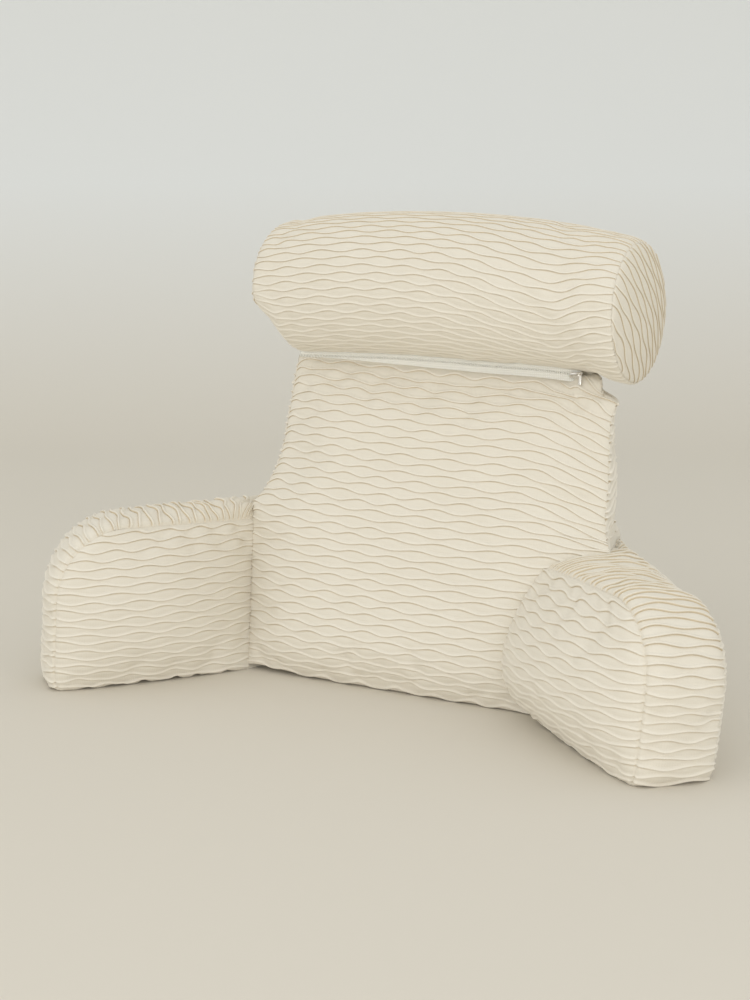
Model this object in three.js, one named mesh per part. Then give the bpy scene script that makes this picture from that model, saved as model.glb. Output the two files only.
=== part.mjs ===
// A backrest pillow for sitting up: a leaning back cushion, two splayed arms and a neck roll,
// all in wave-pleated cloth, with the roll zipped to the top edge of the back.
// Millimetres, +Z up. The front faces -Y and the pillow stands on its flat base.
import * as THREE from 'three';

// Clear space between neighbouring pieces
const gap = 0.5;

// Pleats: narrow tucks stitched into the cloth, each one a wave out of step with the next. The faces that
// look away from the sitter have the longer rearWave.
const pleat = { pitch: 8.2, wave: 46, rearWave: 60, sway: 1.5, height: 1.8 };

// Cloth left flat beside a seam, and the fewest columns that a panel has
const seam = { margin: 0.9, fewestColumns: 4 };

// Stuffing: how squarely a panel is filled out to its edges, and how steeply an arm's inner panel rises
const fill = { square: 4, steep: 0.75 };

// Back cushion: lean and rearLean are run over rise of the front and rear faces, and under is how far
// the feet of both faces are rolled in over the lowest underHigh
const back = {
  lean: 0.329, rearBase: 165, rearLean: 0.07, topRear: 322,
  crown: 20, rearCrown: 14, topCrown: 14, bow: 9, under: 16, underHigh: 45,
  shift: 7, shiftRise: 60, cornerTight: 10,
};

// The back's two sides are not alike. half and rear are the half widths of the front and the rear face,
// flare is the height over which they spread out to the arm, and the top corner drops and is drawn in
// by ear above a fold that stands out by earTip.
const left = { sign: -1, half: 180, rear: 143, crown: 14, flare: 22, drop: 8, ear: 0, earTip: 0 };
const right = { sign: 1, half: 191, rear: 130, crown: 8, flare: 50, drop: 10, ear: 14, earTip: 5 };

// Depth below the top corner where the ear starts and where the edge is fully drawn in
const ear = { low: 14, high: 3 };

// Flat side wall of the back that an arm is sewn to: x = half + rise * z + run * y
const wall = { half: 172, rise: 0.2345, run: -0.2, top: 171, rearTop: 165, arch: 8 };

// Arms: a slab with a round front corner and a round toe, thickest where it meets the back
const arm = {
  height: 165, width: 74, round: 72, toe: 7, toeHigh: 18, rearDrop: 5, dropStart: 0.3,
  outerCrown: 16, frontCrown: 8, topCrown: 9, rootCrown: 5, bow: 6, topRun: 200, fan: 1.3,
};

// The two arms are not alike: splay is in degrees out from straight ahead, lean is run over rise of the
// front outwards, and mitre is how far the outer front edge is set back
const arms = [
  { name: 'arm_left', side: left, splay: 35, length: 211, crown: 34, lean: -0.07, mitre: 14 },
  { name: 'arm_right', side: right, splay: 47, length: 219, crown: 60, lean: 0, mitre: 0 },
];

// Neck roll: fullest at its middle, its ends hanging a little and its right end lower. The zip draws its
// underside up by rise towards the right. Past the zip's ends the underside sags at the right and is drawn
// up by pinch at the left.
const roll = {
  x: 10.5, half: 205.5, endRadius: 69, crown: 6, taper: 3, shoulder: 0.7,
  y: 119, z: 407, tilt: -0.028, hang: 13, endCrown: 10, endTurn: 54,
  rise: 4, riseStart: 25, riseEnd: 135, sag: 10, sagStart: 160, pinch: 36, pinchStart: 178,
};

// Zip between roll and back: two tapes, a coil, a slider and a pull that hangs tipped forward
const zip = {
  left: -171, right: 161, steps: 24, y: 107, tape: 1.2, coilHigh: 1.4, coilDeep: 1.8,
  below: 4.2, seat: 6.5, ledge: 3,
};
const slider = { x: 157, length: 13, high: 6.6, deep: 3, edge: 0.5, tail: 5, shoulder: 1.2, notch: 5.2 };
const pull = { wide: 3.4, long: 14, thick: 1.5, eye: 0.9, ahead: 8, rise: 3, tip: 12 };

// Finishes
const finishes = {
  cloth: { color: 0xe2dac8, roughness: 0.95, metalness: 0 },
  tape: { color: 0xf1efe8, roughness: 0.85, metalness: 0 },
  coil: { color: 0xf4f3ee, roughness: 0.45, metalness: 0 },
  nickel: { color: 0xc9c6bf, roughness: 0.25, metalness: 1 },
};

const { clamp, degToRad, lerp, smoothstep } = THREE.MathUtils;

// How far a stuffed panel stands out, from 0 at its edges to 1: a and b run from -1 to 1 across it
function plump(a) {
  return Math.max(0, 1 - a ** fill.square);
}

function dome(a, b) {
  return plump(a) * Math.sqrt(plump(b));
}

// The same for a rounder panel, which turns under slowly at its lower and upper edges
function barrel(a, b) {
  return plump(a) ** fill.steep * (1 - b ** 2);
}

// A closed skin sewn together from panels
class Skin {
  constructor(middle) {
    this.middle = middle;
    this.points = [];
    this.faces = [];
    this.edges = new Set();
  }

  edgeKey(a, b) {
    return `${a} ${b}`;
  }

  addFace(a, b, c) {
    this.faces.push([a, b, c]);
    for (const [from, to] of [[a, b], [b, c], [c, a]]) {
      this.edges.add(this.edgeKey(from, to));
    }
  }

  addPoint(point) {
    return this.points.push(point) - 1;
  }

  // A panel of ridged cloth. place(u, v, lift) gives a point, with u along the pleats, v across them
  // and lift the height of the tuck there. Returns the panel's four edges as chains of points.
  addPanel(columns, ridges, place, swayStep) {
    const rows = 2 * ridges;
    const grid = [];
    for (let j = 0; j <= rows; j += 1) {
      const line = [];
      for (let i = 0; i <= columns; i += 1) {
        const inside = i > 0 && i < columns && j > 0 && j < rows;
        const crest = inside && j % 2 === 1;
        const turn = (i + (j - 1) / 2) % 2 === 0 ? 1 : -1;
        const v = j / rows + (crest ? turn * swayStep : 0);
        line.push(this.addPoint(place(i / columns, v, crest ? pleat.height : 0)));
      }
      grid.push(line);
    }
    this.fillGrid(grid);
    return {
      start: grid[0],
      end: grid[rows],
      left: grid.map((line) => line[0]),
      right: grid.map((line) => line[columns]),
    };
  }

  // Faces of a grid of points, turned so that they look away from the middle of the cushion
  fillGrid(grid) {
    const j = Math.floor((grid.length - 1) / 2);
    const i = Math.floor((grid[0].length - 1) / 2);
    const corner = this.points[grid[j][i]];
    const along = this.points[grid[j][i + 1]].clone().sub(corner);
    const across = this.points[grid[j + 1][i]].clone().sub(corner);
    const outward = along.cross(across).dot(corner.clone().sub(this.middle)) > 0;
    for (let r = 0; r + 1 < grid.length; r += 1) {
      for (let c = 0; c + 1 < grid[r].length; c += 1) {
        const quad = [grid[r][c], grid[r][c + 1], grid[r + 1][c + 1], grid[r + 1][c]];
        const [p, q, s, t] = outward ? quad : quad.reverse();
        this.addFace(p, q, s);
        this.addFace(p, s, t);
      }
    }
  }

  // A triangle on edge a-b of a panel, facing the way that the panel does
  addBeside(a, b, tip) {
    if (this.edges.has(this.edgeKey(a, b))) {
      this.addFace(b, a, tip);
    } else {
      this.addFace(a, b, tip);
    }
  }

  // Sews two edges that run the same way, always across the shorter of the two next stitches
  sew(first, second) {
    let i = 0;
    let j = 0;
    const reach = (a, b) => this.points[a].distanceToSquared(this.points[b]);
    while (i + 1 < first.length || j + 1 < second.length) {
      const canFirst = i + 1 < first.length;
      const canSecond = j + 1 < second.length;
      const firstReach = canFirst ? reach(first[i + 1], second[j]) : Infinity;
      const secondReach = canSecond ? reach(first[i], second[j + 1]) : Infinity;
      if (firstReach <= secondReach) {
        this.addBeside(first[i], first[i + 1], second[j]);
        i += 1;
      } else {
        this.addBeside(second[j], second[j + 1], first[i]);
        j += 1;
      }
    }
  }

  // An edge split at a height: the point where it splits is in both parts
  splitAt(chain, height) {
    const last = chain.findLastIndex((index) => this.points[index].z <= height);
    return { below: chain.slice(0, last + 1), above: chain.slice(last) };
  }

  // Turns a closed chain so that it starts beside a point, then repeats that start at its end
  loopFrom(chain, start) {
    const reach = chain.map((index) => this.points[index].distanceToSquared(start));
    const first = reach.indexOf(Math.min(...reach));
    return [...chain.slice(first), ...chain.slice(0, first + 1)];
  }

  // Flat faces over the small openings that are left at the ends of seams
  capOpenings() {
    const next = new Map();
    for (const [a, b, c] of this.faces) {
      for (const [from, to] of [[a, b], [b, c], [c, a]]) {
        if (!this.edges.has(this.edgeKey(to, from))) {
          next.set(to, from);
        }
      }
    }
    while (next.size > 0) {
      const loop = [];
      let index = next.keys().next().value;
      while (next.has(index)) {
        loop.push(index);
        const following = next.get(index);
        next.delete(index);
        index = following;
      }
      this.capLoop(loop);
    }
  }

  capLoop(loop) {
    const normal = new THREE.Vector3();
    loop.forEach((index, k) => {
      const here = this.points[index];
      const there = this.points[loop[(k + 1) % loop.length]];
      normal.add(here.clone().cross(there));
    });
    const turn = new THREE.Quaternion().setFromUnitVectors(normal.normalize(), new THREE.Vector3(0, 0, 1));
    const flat = loop.map((index) => {
      const point = this.points[index].clone().applyQuaternion(turn);
      return new THREE.Vector2(point.x, point.y);
    });
    for (const triangle of THREE.ShapeUtils.triangulateShape(flat, [])) {
      const [a, b, c] = triangle.map((k) => flat[k]);
      const positive = b.clone().sub(a).cross(c.clone().sub(a)) > 0;
      const [p, q, s] = triangle.map((k) => loop[k]);
      if (positive) {
        this.addFace(p, q, s);
      } else {
        this.addFace(p, s, q);
      }
    }
  }

  geometry() {
    this.capOpenings();
    const places = this.points.flatMap((point) => point.toArray());
    const made = new THREE.BufferGeometry();
    made.setAttribute('position', new THREE.Float32BufferAttribute(places, 3));
    made.setIndex(this.faces.flat());
    made.computeVertexNormals();
    return made;
  }
}

// How many columns and tucks a panel takes, and how far a wave sways as a share of the panel
function columnsFor(length, wave = pleat.wave) {
  return Math.max(seam.fewestColumns, Math.round((2 * length) / wave));
}

function ridgesFor(length) {
  return Math.round(length / pleat.pitch);
}

// u or v moved in from both ends of a panel by the seam's margin
function inset(t, length) {
  const margin = seam.margin / length;
  return lerp(margin, 1 - margin, t);
}

// Neck roll, its place and its underside
function rollAxis(x) {
  const along = x - roll.x;
  return roll.z + roll.tilt * along - roll.hang * (along / roll.half) ** 2;
}

function rollRadius(x) {
  const t = Math.min(1, Math.abs(x - roll.x) / roll.half);
  return roll.endRadius + roll.crown * (1 - t ** roll.taper) ** roll.shoulder;
}

// How far the zip draws the underside up at x
function zipRise(x) {
  return roll.rise * smoothstep(x - roll.x, roll.riseStart, roll.riseEnd);
}

function rollUnderside(x, y) {
  const across = Math.min(Math.abs(y - roll.y), rollRadius(x));
  const drop = Math.sqrt(rollRadius(x) ** 2 - across ** 2);
  return rollAxis(x) - drop * (1 - zipRise(x) / rollRadius(x));
}

// How far the underside hangs lower than a round roll's at x
function rollLoose(x) {
  const along = x - roll.x;
  const hung = roll.sag * smoothstep(along, roll.sagStart, roll.half);
  const drawn = clamp((-along - roll.pinchStart) / (roll.half - roll.pinchStart), 0, 1);
  return hung - zipRise(x) - roll.pinch * drawn;
}

// Height of the zip's coil and of the back's top front edge below it
function zipHeight(x) {
  return rollUnderside(x, zip.y) - zip.below;
}

function sideAt(x) {
  return x < 0 ? left : right;
}

function topFront(x) {
  const side = sideAt(x - back.shift);
  const out = Math.abs(x - back.shift) / side.half;
  return zipHeight(x) - zip.seat - side.drop * out ** back.cornerTight;
}

// The side wall, and the half widths of the back, which flare out to meet the arms
function wallX(y, z) {
  return wall.half + wall.rise * z + wall.run * y;
}

function flared(half, y, z, top, side) {
  const spread = Math.exp(-Math.max(0, z - top) / side.flare);
  return z > top ? lerp(half, wallX(y, top), spread) : wallX(y, z);
}

// The upper part of the back sits a little to one side
function sideStep(z) {
  return back.shift * smoothstep(z, wall.top, wall.top + back.shiftRise);
}

function rearY(z) {
  return back.rearBase + back.rearLean * z;
}

// How far a side edge is drawn in at a height, above the ear that its top corner makes
function earIn(z, side) {
  const above = z - topFront(side.sign * side.half + back.shift);
  const tip = Math.exp(-(((above + ear.low) / (ear.low - ear.high)) ** 2));
  return side.ear * smoothstep(above, -ear.low, -ear.high) - side.earTip * tip;
}

function frontEdge(z, side) {
  const y = back.lean * z;
  return new THREE.Vector3(flared(side.half, y, z, wall.top, side) - earIn(z, side), y, z);
}

function rearEdge(z, side) {
  const y = rearY(z);
  return new THREE.Vector3(flared(side.rear, y, z, wall.rearTop, side), y, z);
}

// How far a face of the back stands out at a height because it is low: bowed out, but rolled in at its foot
function lowBow(z, up) {
  return back.bow * (1 - up) - back.under * clamp(1 - z / back.underHigh, 0, 1) ** 2;
}

function makeBack() {
  const high = topFront(0);
  const skin = new Skin(new THREE.Vector3(0, back.rearBase / 2, high / 2));

  const frontWide = left.half + right.half;
  const placeFront = (u, v, lift) => {
    const across = 2 * inset(u, frontWide) - 1;
    const side = sideAt(across);
    const up = v * (1 - seam.margin / high);
    const z = up * topFront(across * side.half + back.shift);
    const edge = frontEdge(z, side);
    const full = back.crown * dome(across, 2 * up - 1) + lowBow(z, up) * plump(across);
    return new THREE.Vector3(across * edge.x + sideStep(z), edge.y - full - lift, z);
  };
  const front = skin.addPanel(columnsFor(frontWide), ridgesFor(high), placeFront, pleat.sway / high);

  const rearWide = left.rear + right.rear;
  const placeRear = (u, v, lift) => {
    const across = 2 * inset(u, rearWide) - 1;
    const up = v * (1 - seam.margin / high);
    const edge = rearEdge(up * back.topRear, sideAt(across));
    const full = back.rearCrown * dome(across, 2 * up - 1) + lowBow(edge.z, up) * plump(across);
    return new THREE.Vector3(across * edge.x + sideStep(edge.z), edge.y + full + lift, edge.z);
  };
  const rearColumns = columnsFor(rearWide, pleat.rearWave);
  const rear = skin.addPanel(rearColumns, ridgesFor(high), placeRear, pleat.sway / high);

  const topStart = zip.y + zip.ledge;
  const topDeep = rearY(high) - topStart;
  const placeTop = (u, v) => {
    const deep = inset(v, topDeep);
    const across = 2 * inset(u, frontWide) - 1;
    const side = sideAt(across);
    const x = across * lerp(side.half - side.ear, side.rear, deep) + back.shift;
    const y = lerp(topStart, rearY(high), deep);
    const full = back.topCrown * plump(across) * (1 - (2 * deep - 1) ** 2);
    const z = lerp(topFront(x), back.topRear, deep) + full;
    return new THREE.Vector3(x, y, Math.min(z, rollUnderside(x, y) - 2 * gap));
  };
  const top = skin.addPanel(columnsFor(frontWide), seam.fewestColumns, placeTop, 0);
  skin.sew(front.end, top.start);
  skin.sew(rear.end, top.end);

  const sideDeep = rearY(wall.top) - back.lean * wall.top;
  for (const side of [left, right]) {
    const placeSide = (u, v, lift) => {
      const deep = inset(u, sideDeep);
      const foot = lerp(wall.top, wall.rearTop, deep) + wall.arch * Math.sin(Math.PI * deep);
      const head = lerp(topFront(side.sign * side.half + back.shift), back.topRear, deep);
      const z = lerp(foot, head, inset(v, head - foot));
      const point = frontEdge(z, side).lerp(rearEdge(z, side), deep);
      const full = (side.crown * dome(2 * deep - 1, 2 * v - 1) + lift) * Math.sqrt(v);
      return new THREE.Vector3(side.sign * (point.x + full) + sideStep(z), point.y, point.z);
    };
    const sideHigh = high - wall.top;
    const panel = skin.addPanel(columnsFor(sideDeep), ridgesFor(sideHigh), placeSide, pleat.sway / sideHigh);
    const frontSeam = skin.splitAt(side === left ? front.left : front.right, wall.top);
    const rearSeam = skin.splitAt(side === left ? rear.left : rear.right, wall.rearTop);
    skin.sew(panel.left, frontSeam.above);
    skin.sew(panel.right, rearSeam.above);
    skin.sew(panel.end, side === left ? top.left : top.right);
    skin.sew(frontSeam.below, rearSeam.below);
  }
  skin.sew(front.start, rear.start);
  return skin.geometry();
}

function makeArm(row) {
  const splay = degToRad(row.splay);
  const along = new THREE.Vector3(Math.sin(splay), -Math.cos(splay), 0);
  const outward = new THREE.Vector3(Math.cos(splay), Math.sin(splay), 0);
  const root = new THREE.Vector3(wall.half + gap, 0, 0);
  const bend = root.clone().addScaledVector(outward, arm.width);
  const frontOuter = bend.clone().addScaledVector(along, row.length - row.mitre);
  const straight = arm.height - arm.round;
  const middle = root.clone().addScaledVector(along, row.length / 2).addScaledVector(outward, arm.width / 2);
  const skin = new Skin(middle.setZ(arm.height / 2));
  const mirrored = (point) => point.setX(row.side.sign * point.x);
  skin.middle.x *= row.side.sign;

  // How far forward the arm reaches at a height: a round toe, straight up, then round
  const toeBack = (z) => arm.toe * clamp(1 - z / arm.toeHigh, 0, 1) ** 2;
  const reach = (z) => {
    const up = Math.max(0, z - straight);
    return row.length - arm.round + Math.sqrt(Math.max(0, arm.round ** 2 - up ** 2)) - toeBack(z);
  };

  // The inner face follows the lean of the back at its root and the arm's own lean at its front
  const innerAt = (s, z) => {
    const lean = (1 - s / row.length) ** 2 * z;
    const sway = (wall.rise + wall.run * back.lean) * lean + (row.lean * z * s) / row.length;
    return root.clone().addScaledVector(along, s).add(new THREE.Vector3(sway, back.lean * lean, z));
  };

  // The outer face sweeps from the arm's front back to the rear corner of the back cushion
  const outerAt = (t, z) => {
    const corner = new THREE.Vector3(wallX(rearY(z), z) + gap, rearY(z), z);
    const raised = new THREE.Vector3(row.lean * z, 0, z);
    const start = frontOuter.clone().add(raised);
    const curve = new THREE.QuadraticBezierCurve3(start, bend.clone().add(raised), corner);
    const tangent = curve.getTangent(t);
    return { point: curve.getPoint(t), normal: new THREE.Vector3(-tangent.y, tangent.x, 0).negate() };
  };
  const outerShare = (s) => (row.length - s) / (2 * row.length);

  // The arm's outer top edge runs level from the front, then down to the rear corner
  const outerTop = (share) => arm.height - arm.rearDrop * smoothstep(share, arm.dropStart, 1);

  const placeInner = (u, v, lift) => {
    const z = v * (arm.height - seam.margin);
    const s = inset(u, row.length) * reach(z);
    const point = innerAt(s, z);
    const full = row.crown * barrel(2 * u - 1, 2 * v - 1) + arm.bow * plump(2 * u - 1) * (1 - v);
    return mirrored(point.addScaledVector(outward, -full - lift));
  };
  const ridges = ridgesFor(arm.height);
  const inner = skin.addPanel(columnsFor(row.length), ridges, placeInner, pleat.sway / arm.height);

  const outerLong = row.length + arm.width;
  const placeOuter = (u, v, lift) => {
    const upright = v * (arm.height - seam.margin);
    const share = lerp(1, outerShare(reach(upright)), inset(u, outerLong));
    const { point, normal } = outerAt(share, (upright * outerTop(share)) / arm.height);
    const full = arm.outerCrown * dome(2 * u - 1, 2 * v - 1) + arm.bow * plump(2 * u - 1) * (1 - v);
    return mirrored(point.addScaledVector(normal, full + lift));
  };
  const outerColumns = columnsFor(outerLong, pleat.rearWave);
  const outer = skin.addPanel(outerColumns, ridges, placeOuter, pleat.sway / arm.height);

  // The gusset runs up the front, round the corner and back along the top, with tucks across it
  const roundLong = (arm.round * Math.PI) / 2;
  const gussetLong = straight + roundLong + arm.topRun;
  const station = (distance) => {
    if (distance < straight) {
      const s = row.length - toeBack(distance);
      return { s, z: distance, share: outerShare(s), tip: 0, top: 0 };
    }
    if (distance < straight + roundLong) {
      const angle = (distance - straight) / arm.round;
      const s = row.length - arm.round * (1 - Math.cos(angle));
      return { s, z: straight + arm.round * Math.sin(angle), share: outerShare(s), tip: angle, top: 0 };
    }
    const top = Math.min(1, (distance - straight - roundLong) / arm.topRun);
    const s = (row.length - arm.round) * (1 - top) ** arm.fan;
    const share = lerp(outerShare(row.length - arm.round), 1, top);
    return { s, z: arm.height, share, tip: Math.PI / 2, top };
  };
  const placeGusset = (u, v, lift) => {
    const { s, z, share, tip, top } = station(v * gussetLong);
    const across = inset(u, arm.width);
    const outerZ = (z * outerTop(share)) / arm.height;
    const point = innerAt(s, z).lerp(outerAt(share, outerZ).point, across);
    const crown = lerp(lerp(arm.frontCrown, arm.topCrown, tip / (Math.PI / 2)), arm.rootCrown, top);
    const full = crown * Math.sqrt(plump(2 * across - 1)) + lift;
    const away = along.clone().multiplyScalar(Math.cos(tip)).setZ(Math.sin(tip));
    point.addScaledVector(away, full);
    const nearest = wallX(point.y, point.z) + gap;
    return mirrored(point.setX(Math.max(point.x, nearest)));
  };
  const gusset = skin.addPanel(
    seam.fewestColumns, ridgesFor(gussetLong), placeGusset, pleat.sway / gussetLong,
  );
  skin.sew(gusset.left, [...inner.right, ...inner.end.toReversed().slice(1)]);
  skin.sew(gusset.right, [...outer.right, ...outer.end.toReversed().slice(1)]);
  skin.sew(inner.left, outer.left);
  skin.sew(inner.start, outer.start);
  return skin.geometry();
}

function makeRoll() {
  const skin = new Skin(new THREE.Vector3(roll.x, roll.y, roll.z));
  const round = 2 * Math.PI * (roll.endRadius + roll.crown);
  const ridges = ridgesFor(round);
  const rows = 2 * ridges;
  const columns = columnsFor(2 * roll.half);

  // The body: tucks along its length, closed round on itself
  const grid = [];
  for (let j = 0; j < rows; j += 1) {
    const line = [];
    for (let i = 0; i <= columns; i += 1) {
      const crest = j % 2 === 1 && i > 0 && i < columns;
      const turn = (i + (j - 1) / 2) % 2 === 0 ? 1 : -1;
      const angle = ((j + (crest ? (turn * pleat.sway * rows) / round : 0)) / rows) * 2 * Math.PI;
      const x = roll.x + (2 * inset(i / columns, 2 * roll.half) - 1) * roll.half;
      const radius = rollRadius(x) - (crest ? 0 : pleat.height);
      const y = roll.y - radius * Math.cos(angle);
      const up = Math.sin(angle);
      const z = rollAxis(x) + radius * up - rollLoose(x) * Math.max(0, -up);
      line.push(skin.addPoint(new THREE.Vector3(x, y, z)));
    }
    grid.push(line);
  }
  skin.fillGrid([...grid, grid[0]]);

  // The two ends: discs whose tucks run slantwise
  for (const side of [-1, 1]) {
    const reach = roll.endRadius - pleat.height - seam.margin;
    const turn = degToRad(roll.endTurn);
    const endX = roll.x + side * roll.half;
    const placeEnd = (u, v, lift) => {
      const across = (2 * v - 1) * reach * (1 - seam.margin / reach);
      const span = Math.sqrt(reach ** 2 - across ** 2);
      const along = (2 * u - 1) * span;
      const full = roll.endCrown * (1 - (across ** 2 + along ** 2) / reach ** 2) + lift;
      const y = roll.y + along * Math.cos(turn) + across * Math.sin(turn);
      const up = across * Math.cos(turn) - along * Math.sin(turn);
      const z = rollAxis(endX) + up - rollLoose(endX) * clamp(-up / reach, 0, 1);
      return new THREE.Vector3(endX + side * full, y, z);
    };
    const wide = 2 * reach;
    const disc = skin.addPanel(columnsFor(wide), ridgesFor(wide), placeEnd, pleat.sway / wide);
    const rim = [
      ...disc.start, ...disc.right.slice(1), ...disc.end.toReversed().slice(1),
      ...disc.left.toReversed().slice(1, -1),
    ];
    const ring = grid.map((line) => line[side < 0 ? 0 : columns]);
    const rimLoop = skin.loopFrom(rim, skin.points[ring[0]]);
    const ringLoop = [...ring, ring[0]];
    const towards = skin.points[rimLoop[1]].distanceToSquared(skin.points[ring[1]]);
    const away = skin.points[rimLoop[1]].distanceToSquared(skin.points[ring[rows - 1]]);
    skin.sew(towards < away ? ringLoop : ringLoop.toReversed(), rimLoop);
  }
  return skin.geometry();
}

// A flat strip along the zip. low and high give its two edges at x, and it is deep from y on.
function makeStrip(low, high, y, deep) {
  const skin = new Skin(new THREE.Vector3(0, y + deep / 2, (low(0) + high(0)) / 2));
  const rings = [];
  for (let k = 0; k <= zip.steps; k += 1) {
    const x = lerp(zip.left, zip.right, k / zip.steps);
    const corners = [[y, low(x)], [y, high(x)], [y + deep, high(x)], [y + deep, low(x)]];
    rings.push(corners.map(([cornerY, z]) => skin.addPoint(new THREE.Vector3(x, cornerY, z))));
  }
  rings[0].forEach((first, side, { length }) => {
    skin.fillGrid(rings.map((ring) => [ring[side], ring[(side + 1) % length]]));
  });
  return skin.geometry();
}

// The slider: a plate in front of the coil with a narrower tail, notched where the coil parts
function makeSlider() {
  const half = slider.length / 2;
  const top = slider.high / 2;
  const tail = slider.tail / 2;
  const outline = new THREE.Shape();
  outline.moveTo(-half, -top);
  outline.lineTo(slider.shoulder, -top);
  outline.quadraticCurveTo(half, -top, half, -tail);
  outline.lineTo(half, tail);
  outline.quadraticCurveTo(half, top, slider.shoulder, top);
  outline.lineTo(-half, top);
  outline.quadraticCurveTo(-slider.notch, 0, -half, -top);
  const bevel = { bevelSize: slider.edge, bevelThickness: slider.edge, bevelSegments: 1 };
  return new THREE.ExtrudeGeometry(outline, { depth: slider.deep, curveSegments: 6, ...bevel });
}

// The pull: a narrow round-ended bar with an eye near its top
function makePull() {
  const half = pull.wide / 2;
  const outline = new THREE.Shape();
  outline.absarc(0, 0, half, 0, Math.PI, false);
  outline.lineTo(-half, -pull.long + pull.wide);
  outline.absarc(0, -pull.long + pull.wide, half, Math.PI, 2 * Math.PI, false);
  const eye = new THREE.Path();
  eye.absarc(0, 0, pull.eye, 0, 2 * Math.PI, true);
  outline.holes.push(eye);
  return new THREE.ExtrudeGeometry(outline, { depth: pull.thick, bevelEnabled: false, curveSegments: 8 });
}

function addPiece(parent, name, geometry, finish) {
  const mesh = new THREE.Mesh(geometry, new THREE.MeshStandardMaterial(finishes[finish]));
  mesh.name = name;
  parent.add(mesh);
  return mesh;
}

const pillow = new THREE.Group();
addPiece(pillow, 'back_cushion', makeBack(), 'cloth');
for (const row of arms) {
  addPiece(pillow, row.name, makeArm(row), 'cloth');
}
addPiece(pillow, 'neck_roll', makeRoll(), 'cloth');

// Zip
const coilHalf = zip.coilHigh / 2;
const tapeY = zip.y - zip.tape / 2;
const coilY = zip.y - zip.coilDeep / 2;
const lowerFoot = (x) => topFront(x) + 2 * gap;
const lowerHead = (x) => zipHeight(x) - coilHalf - gap;
const upperFoot = (x) => zipHeight(x) + coilHalf + gap;
const upperHead = (x) => rollUnderside(x, tapeY) - gap;
addPiece(pillow, 'zip_tape_lower', makeStrip(lowerFoot, lowerHead, tapeY, zip.tape), 'tape');
addPiece(pillow, 'zip_tape_upper', makeStrip(upperFoot, upperHead, tapeY, zip.tape), 'tape');
const coilFoot = (x) => zipHeight(x) - coilHalf;
const coilHead = (x) => zipHeight(x) + coilHalf;
addPiece(pillow, 'zip_coil', makeStrip(coilFoot, coilHead, coilY, zip.coilDeep), 'coil');

const body = addPiece(pillow, 'zip_slider', makeSlider(), 'nickel');
body.position.set(slider.x, coilY - gap - slider.edge, zipHeight(slider.x));
body.rotation.set(Math.PI / 2, 0, Math.PI);

const tab = addPiece(pillow, 'zip_pull', makePull(), 'nickel');
const tabY = coilY - slider.deep - 2 * slider.edge - pull.wide / 2 - gap;
tab.position.set(slider.x + pull.ahead, tabY, zipHeight(slider.x) + pull.rise);
tab.rotation.x = degToRad(90 - pull.tip);

// The origin is under the middle of the whole pillow, on the surface it stands on
const box = new THREE.Box3().setFromObject(pillow);
pillow.position.set(-(box.min.x + box.max.x) / 2, -(box.min.y + box.max.y) / 2, -box.min.z);

export default pillow;
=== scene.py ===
"""Looks of a backrest pillow in wave-pleated ivory cloth.

The pillow has a leaning back cushion, two splayed arms and a neck roll that is zipped to the top edge
of the back. Each cushion's cover is sewn here from pleated panels, filled by a cloth simulation, and
takes the place of its plain solid. Sizes are millimetres in the pattern's own frame until a mesh is
made.
"""
import logging
import math
from collections.abc import Callable
from dataclasses import dataclass, field
from enum import Enum

import bmesh
import bpy
import numpy as np
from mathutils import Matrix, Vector


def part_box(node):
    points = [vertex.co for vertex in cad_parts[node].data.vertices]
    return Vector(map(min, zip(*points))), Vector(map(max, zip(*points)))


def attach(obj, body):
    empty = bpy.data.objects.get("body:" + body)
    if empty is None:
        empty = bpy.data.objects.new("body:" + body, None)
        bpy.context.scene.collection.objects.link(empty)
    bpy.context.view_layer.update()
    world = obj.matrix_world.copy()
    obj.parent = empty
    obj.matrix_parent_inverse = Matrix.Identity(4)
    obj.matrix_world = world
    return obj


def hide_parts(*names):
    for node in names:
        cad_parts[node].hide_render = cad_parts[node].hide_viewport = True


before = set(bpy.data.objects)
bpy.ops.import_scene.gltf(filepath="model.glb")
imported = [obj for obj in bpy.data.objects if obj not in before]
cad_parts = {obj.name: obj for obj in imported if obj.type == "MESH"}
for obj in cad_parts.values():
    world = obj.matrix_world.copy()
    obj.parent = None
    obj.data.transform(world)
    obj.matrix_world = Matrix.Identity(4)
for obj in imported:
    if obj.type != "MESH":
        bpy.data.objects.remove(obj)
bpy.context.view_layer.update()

LOG = logging.getLogger("backrest_pillow")
MM = 0.001
BODY = "root"
# Keeps a division from failing where a size is nothing
TINY = 1e-9
# Points of a finished cover that lie closer than this become one, in mm
MERGE = 0.005
# Decimals of a millimetre that tell two points of a simulated cover apart
APART = 2

Array = np.ndarray
Object = bpy.types.Object
Material = bpy.types.Material
Tree = bpy.types.NodeTree
Node = bpy.types.Node
Socket = bpy.types.NodeSocket
# Turns places along and across a panel's tucks, each from 0 to 1, into points
Place = Callable[[Array, Array], Array]


def hex_to_linear(code: str) -> tuple[float, float, float, float]:
    """Turns an sRGB hex colour into a linear one.

    Args:
        code: Six hex digits, with or without a leading mark.

    Returns:
        Linear red, green, blue and an alpha of 1.
    """
    digits = code.lstrip("#")
    shares = [int(digits[k:k + 2], 16) / 255 for k in (0, 2, 4)]
    linear = [s / 12.92 if s <= 0.04045 else ((s + 0.055) / 1.055) ** 2.4 for s in shares]
    return (*linear, 1.0)


def vectors(x: Array, y: Array, z: Array) -> Array:
    """Stacks three coordinates into points, the coordinates along the last axis."""
    return np.stack(np.broadcast_arrays(x, y, z), axis=-1).astype(float)


def lerp(a: Array, b: Array, t: Array) -> Array:
    """Goes from a to b as t goes from 0 to 1."""
    return a + (b - a) * t


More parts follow.
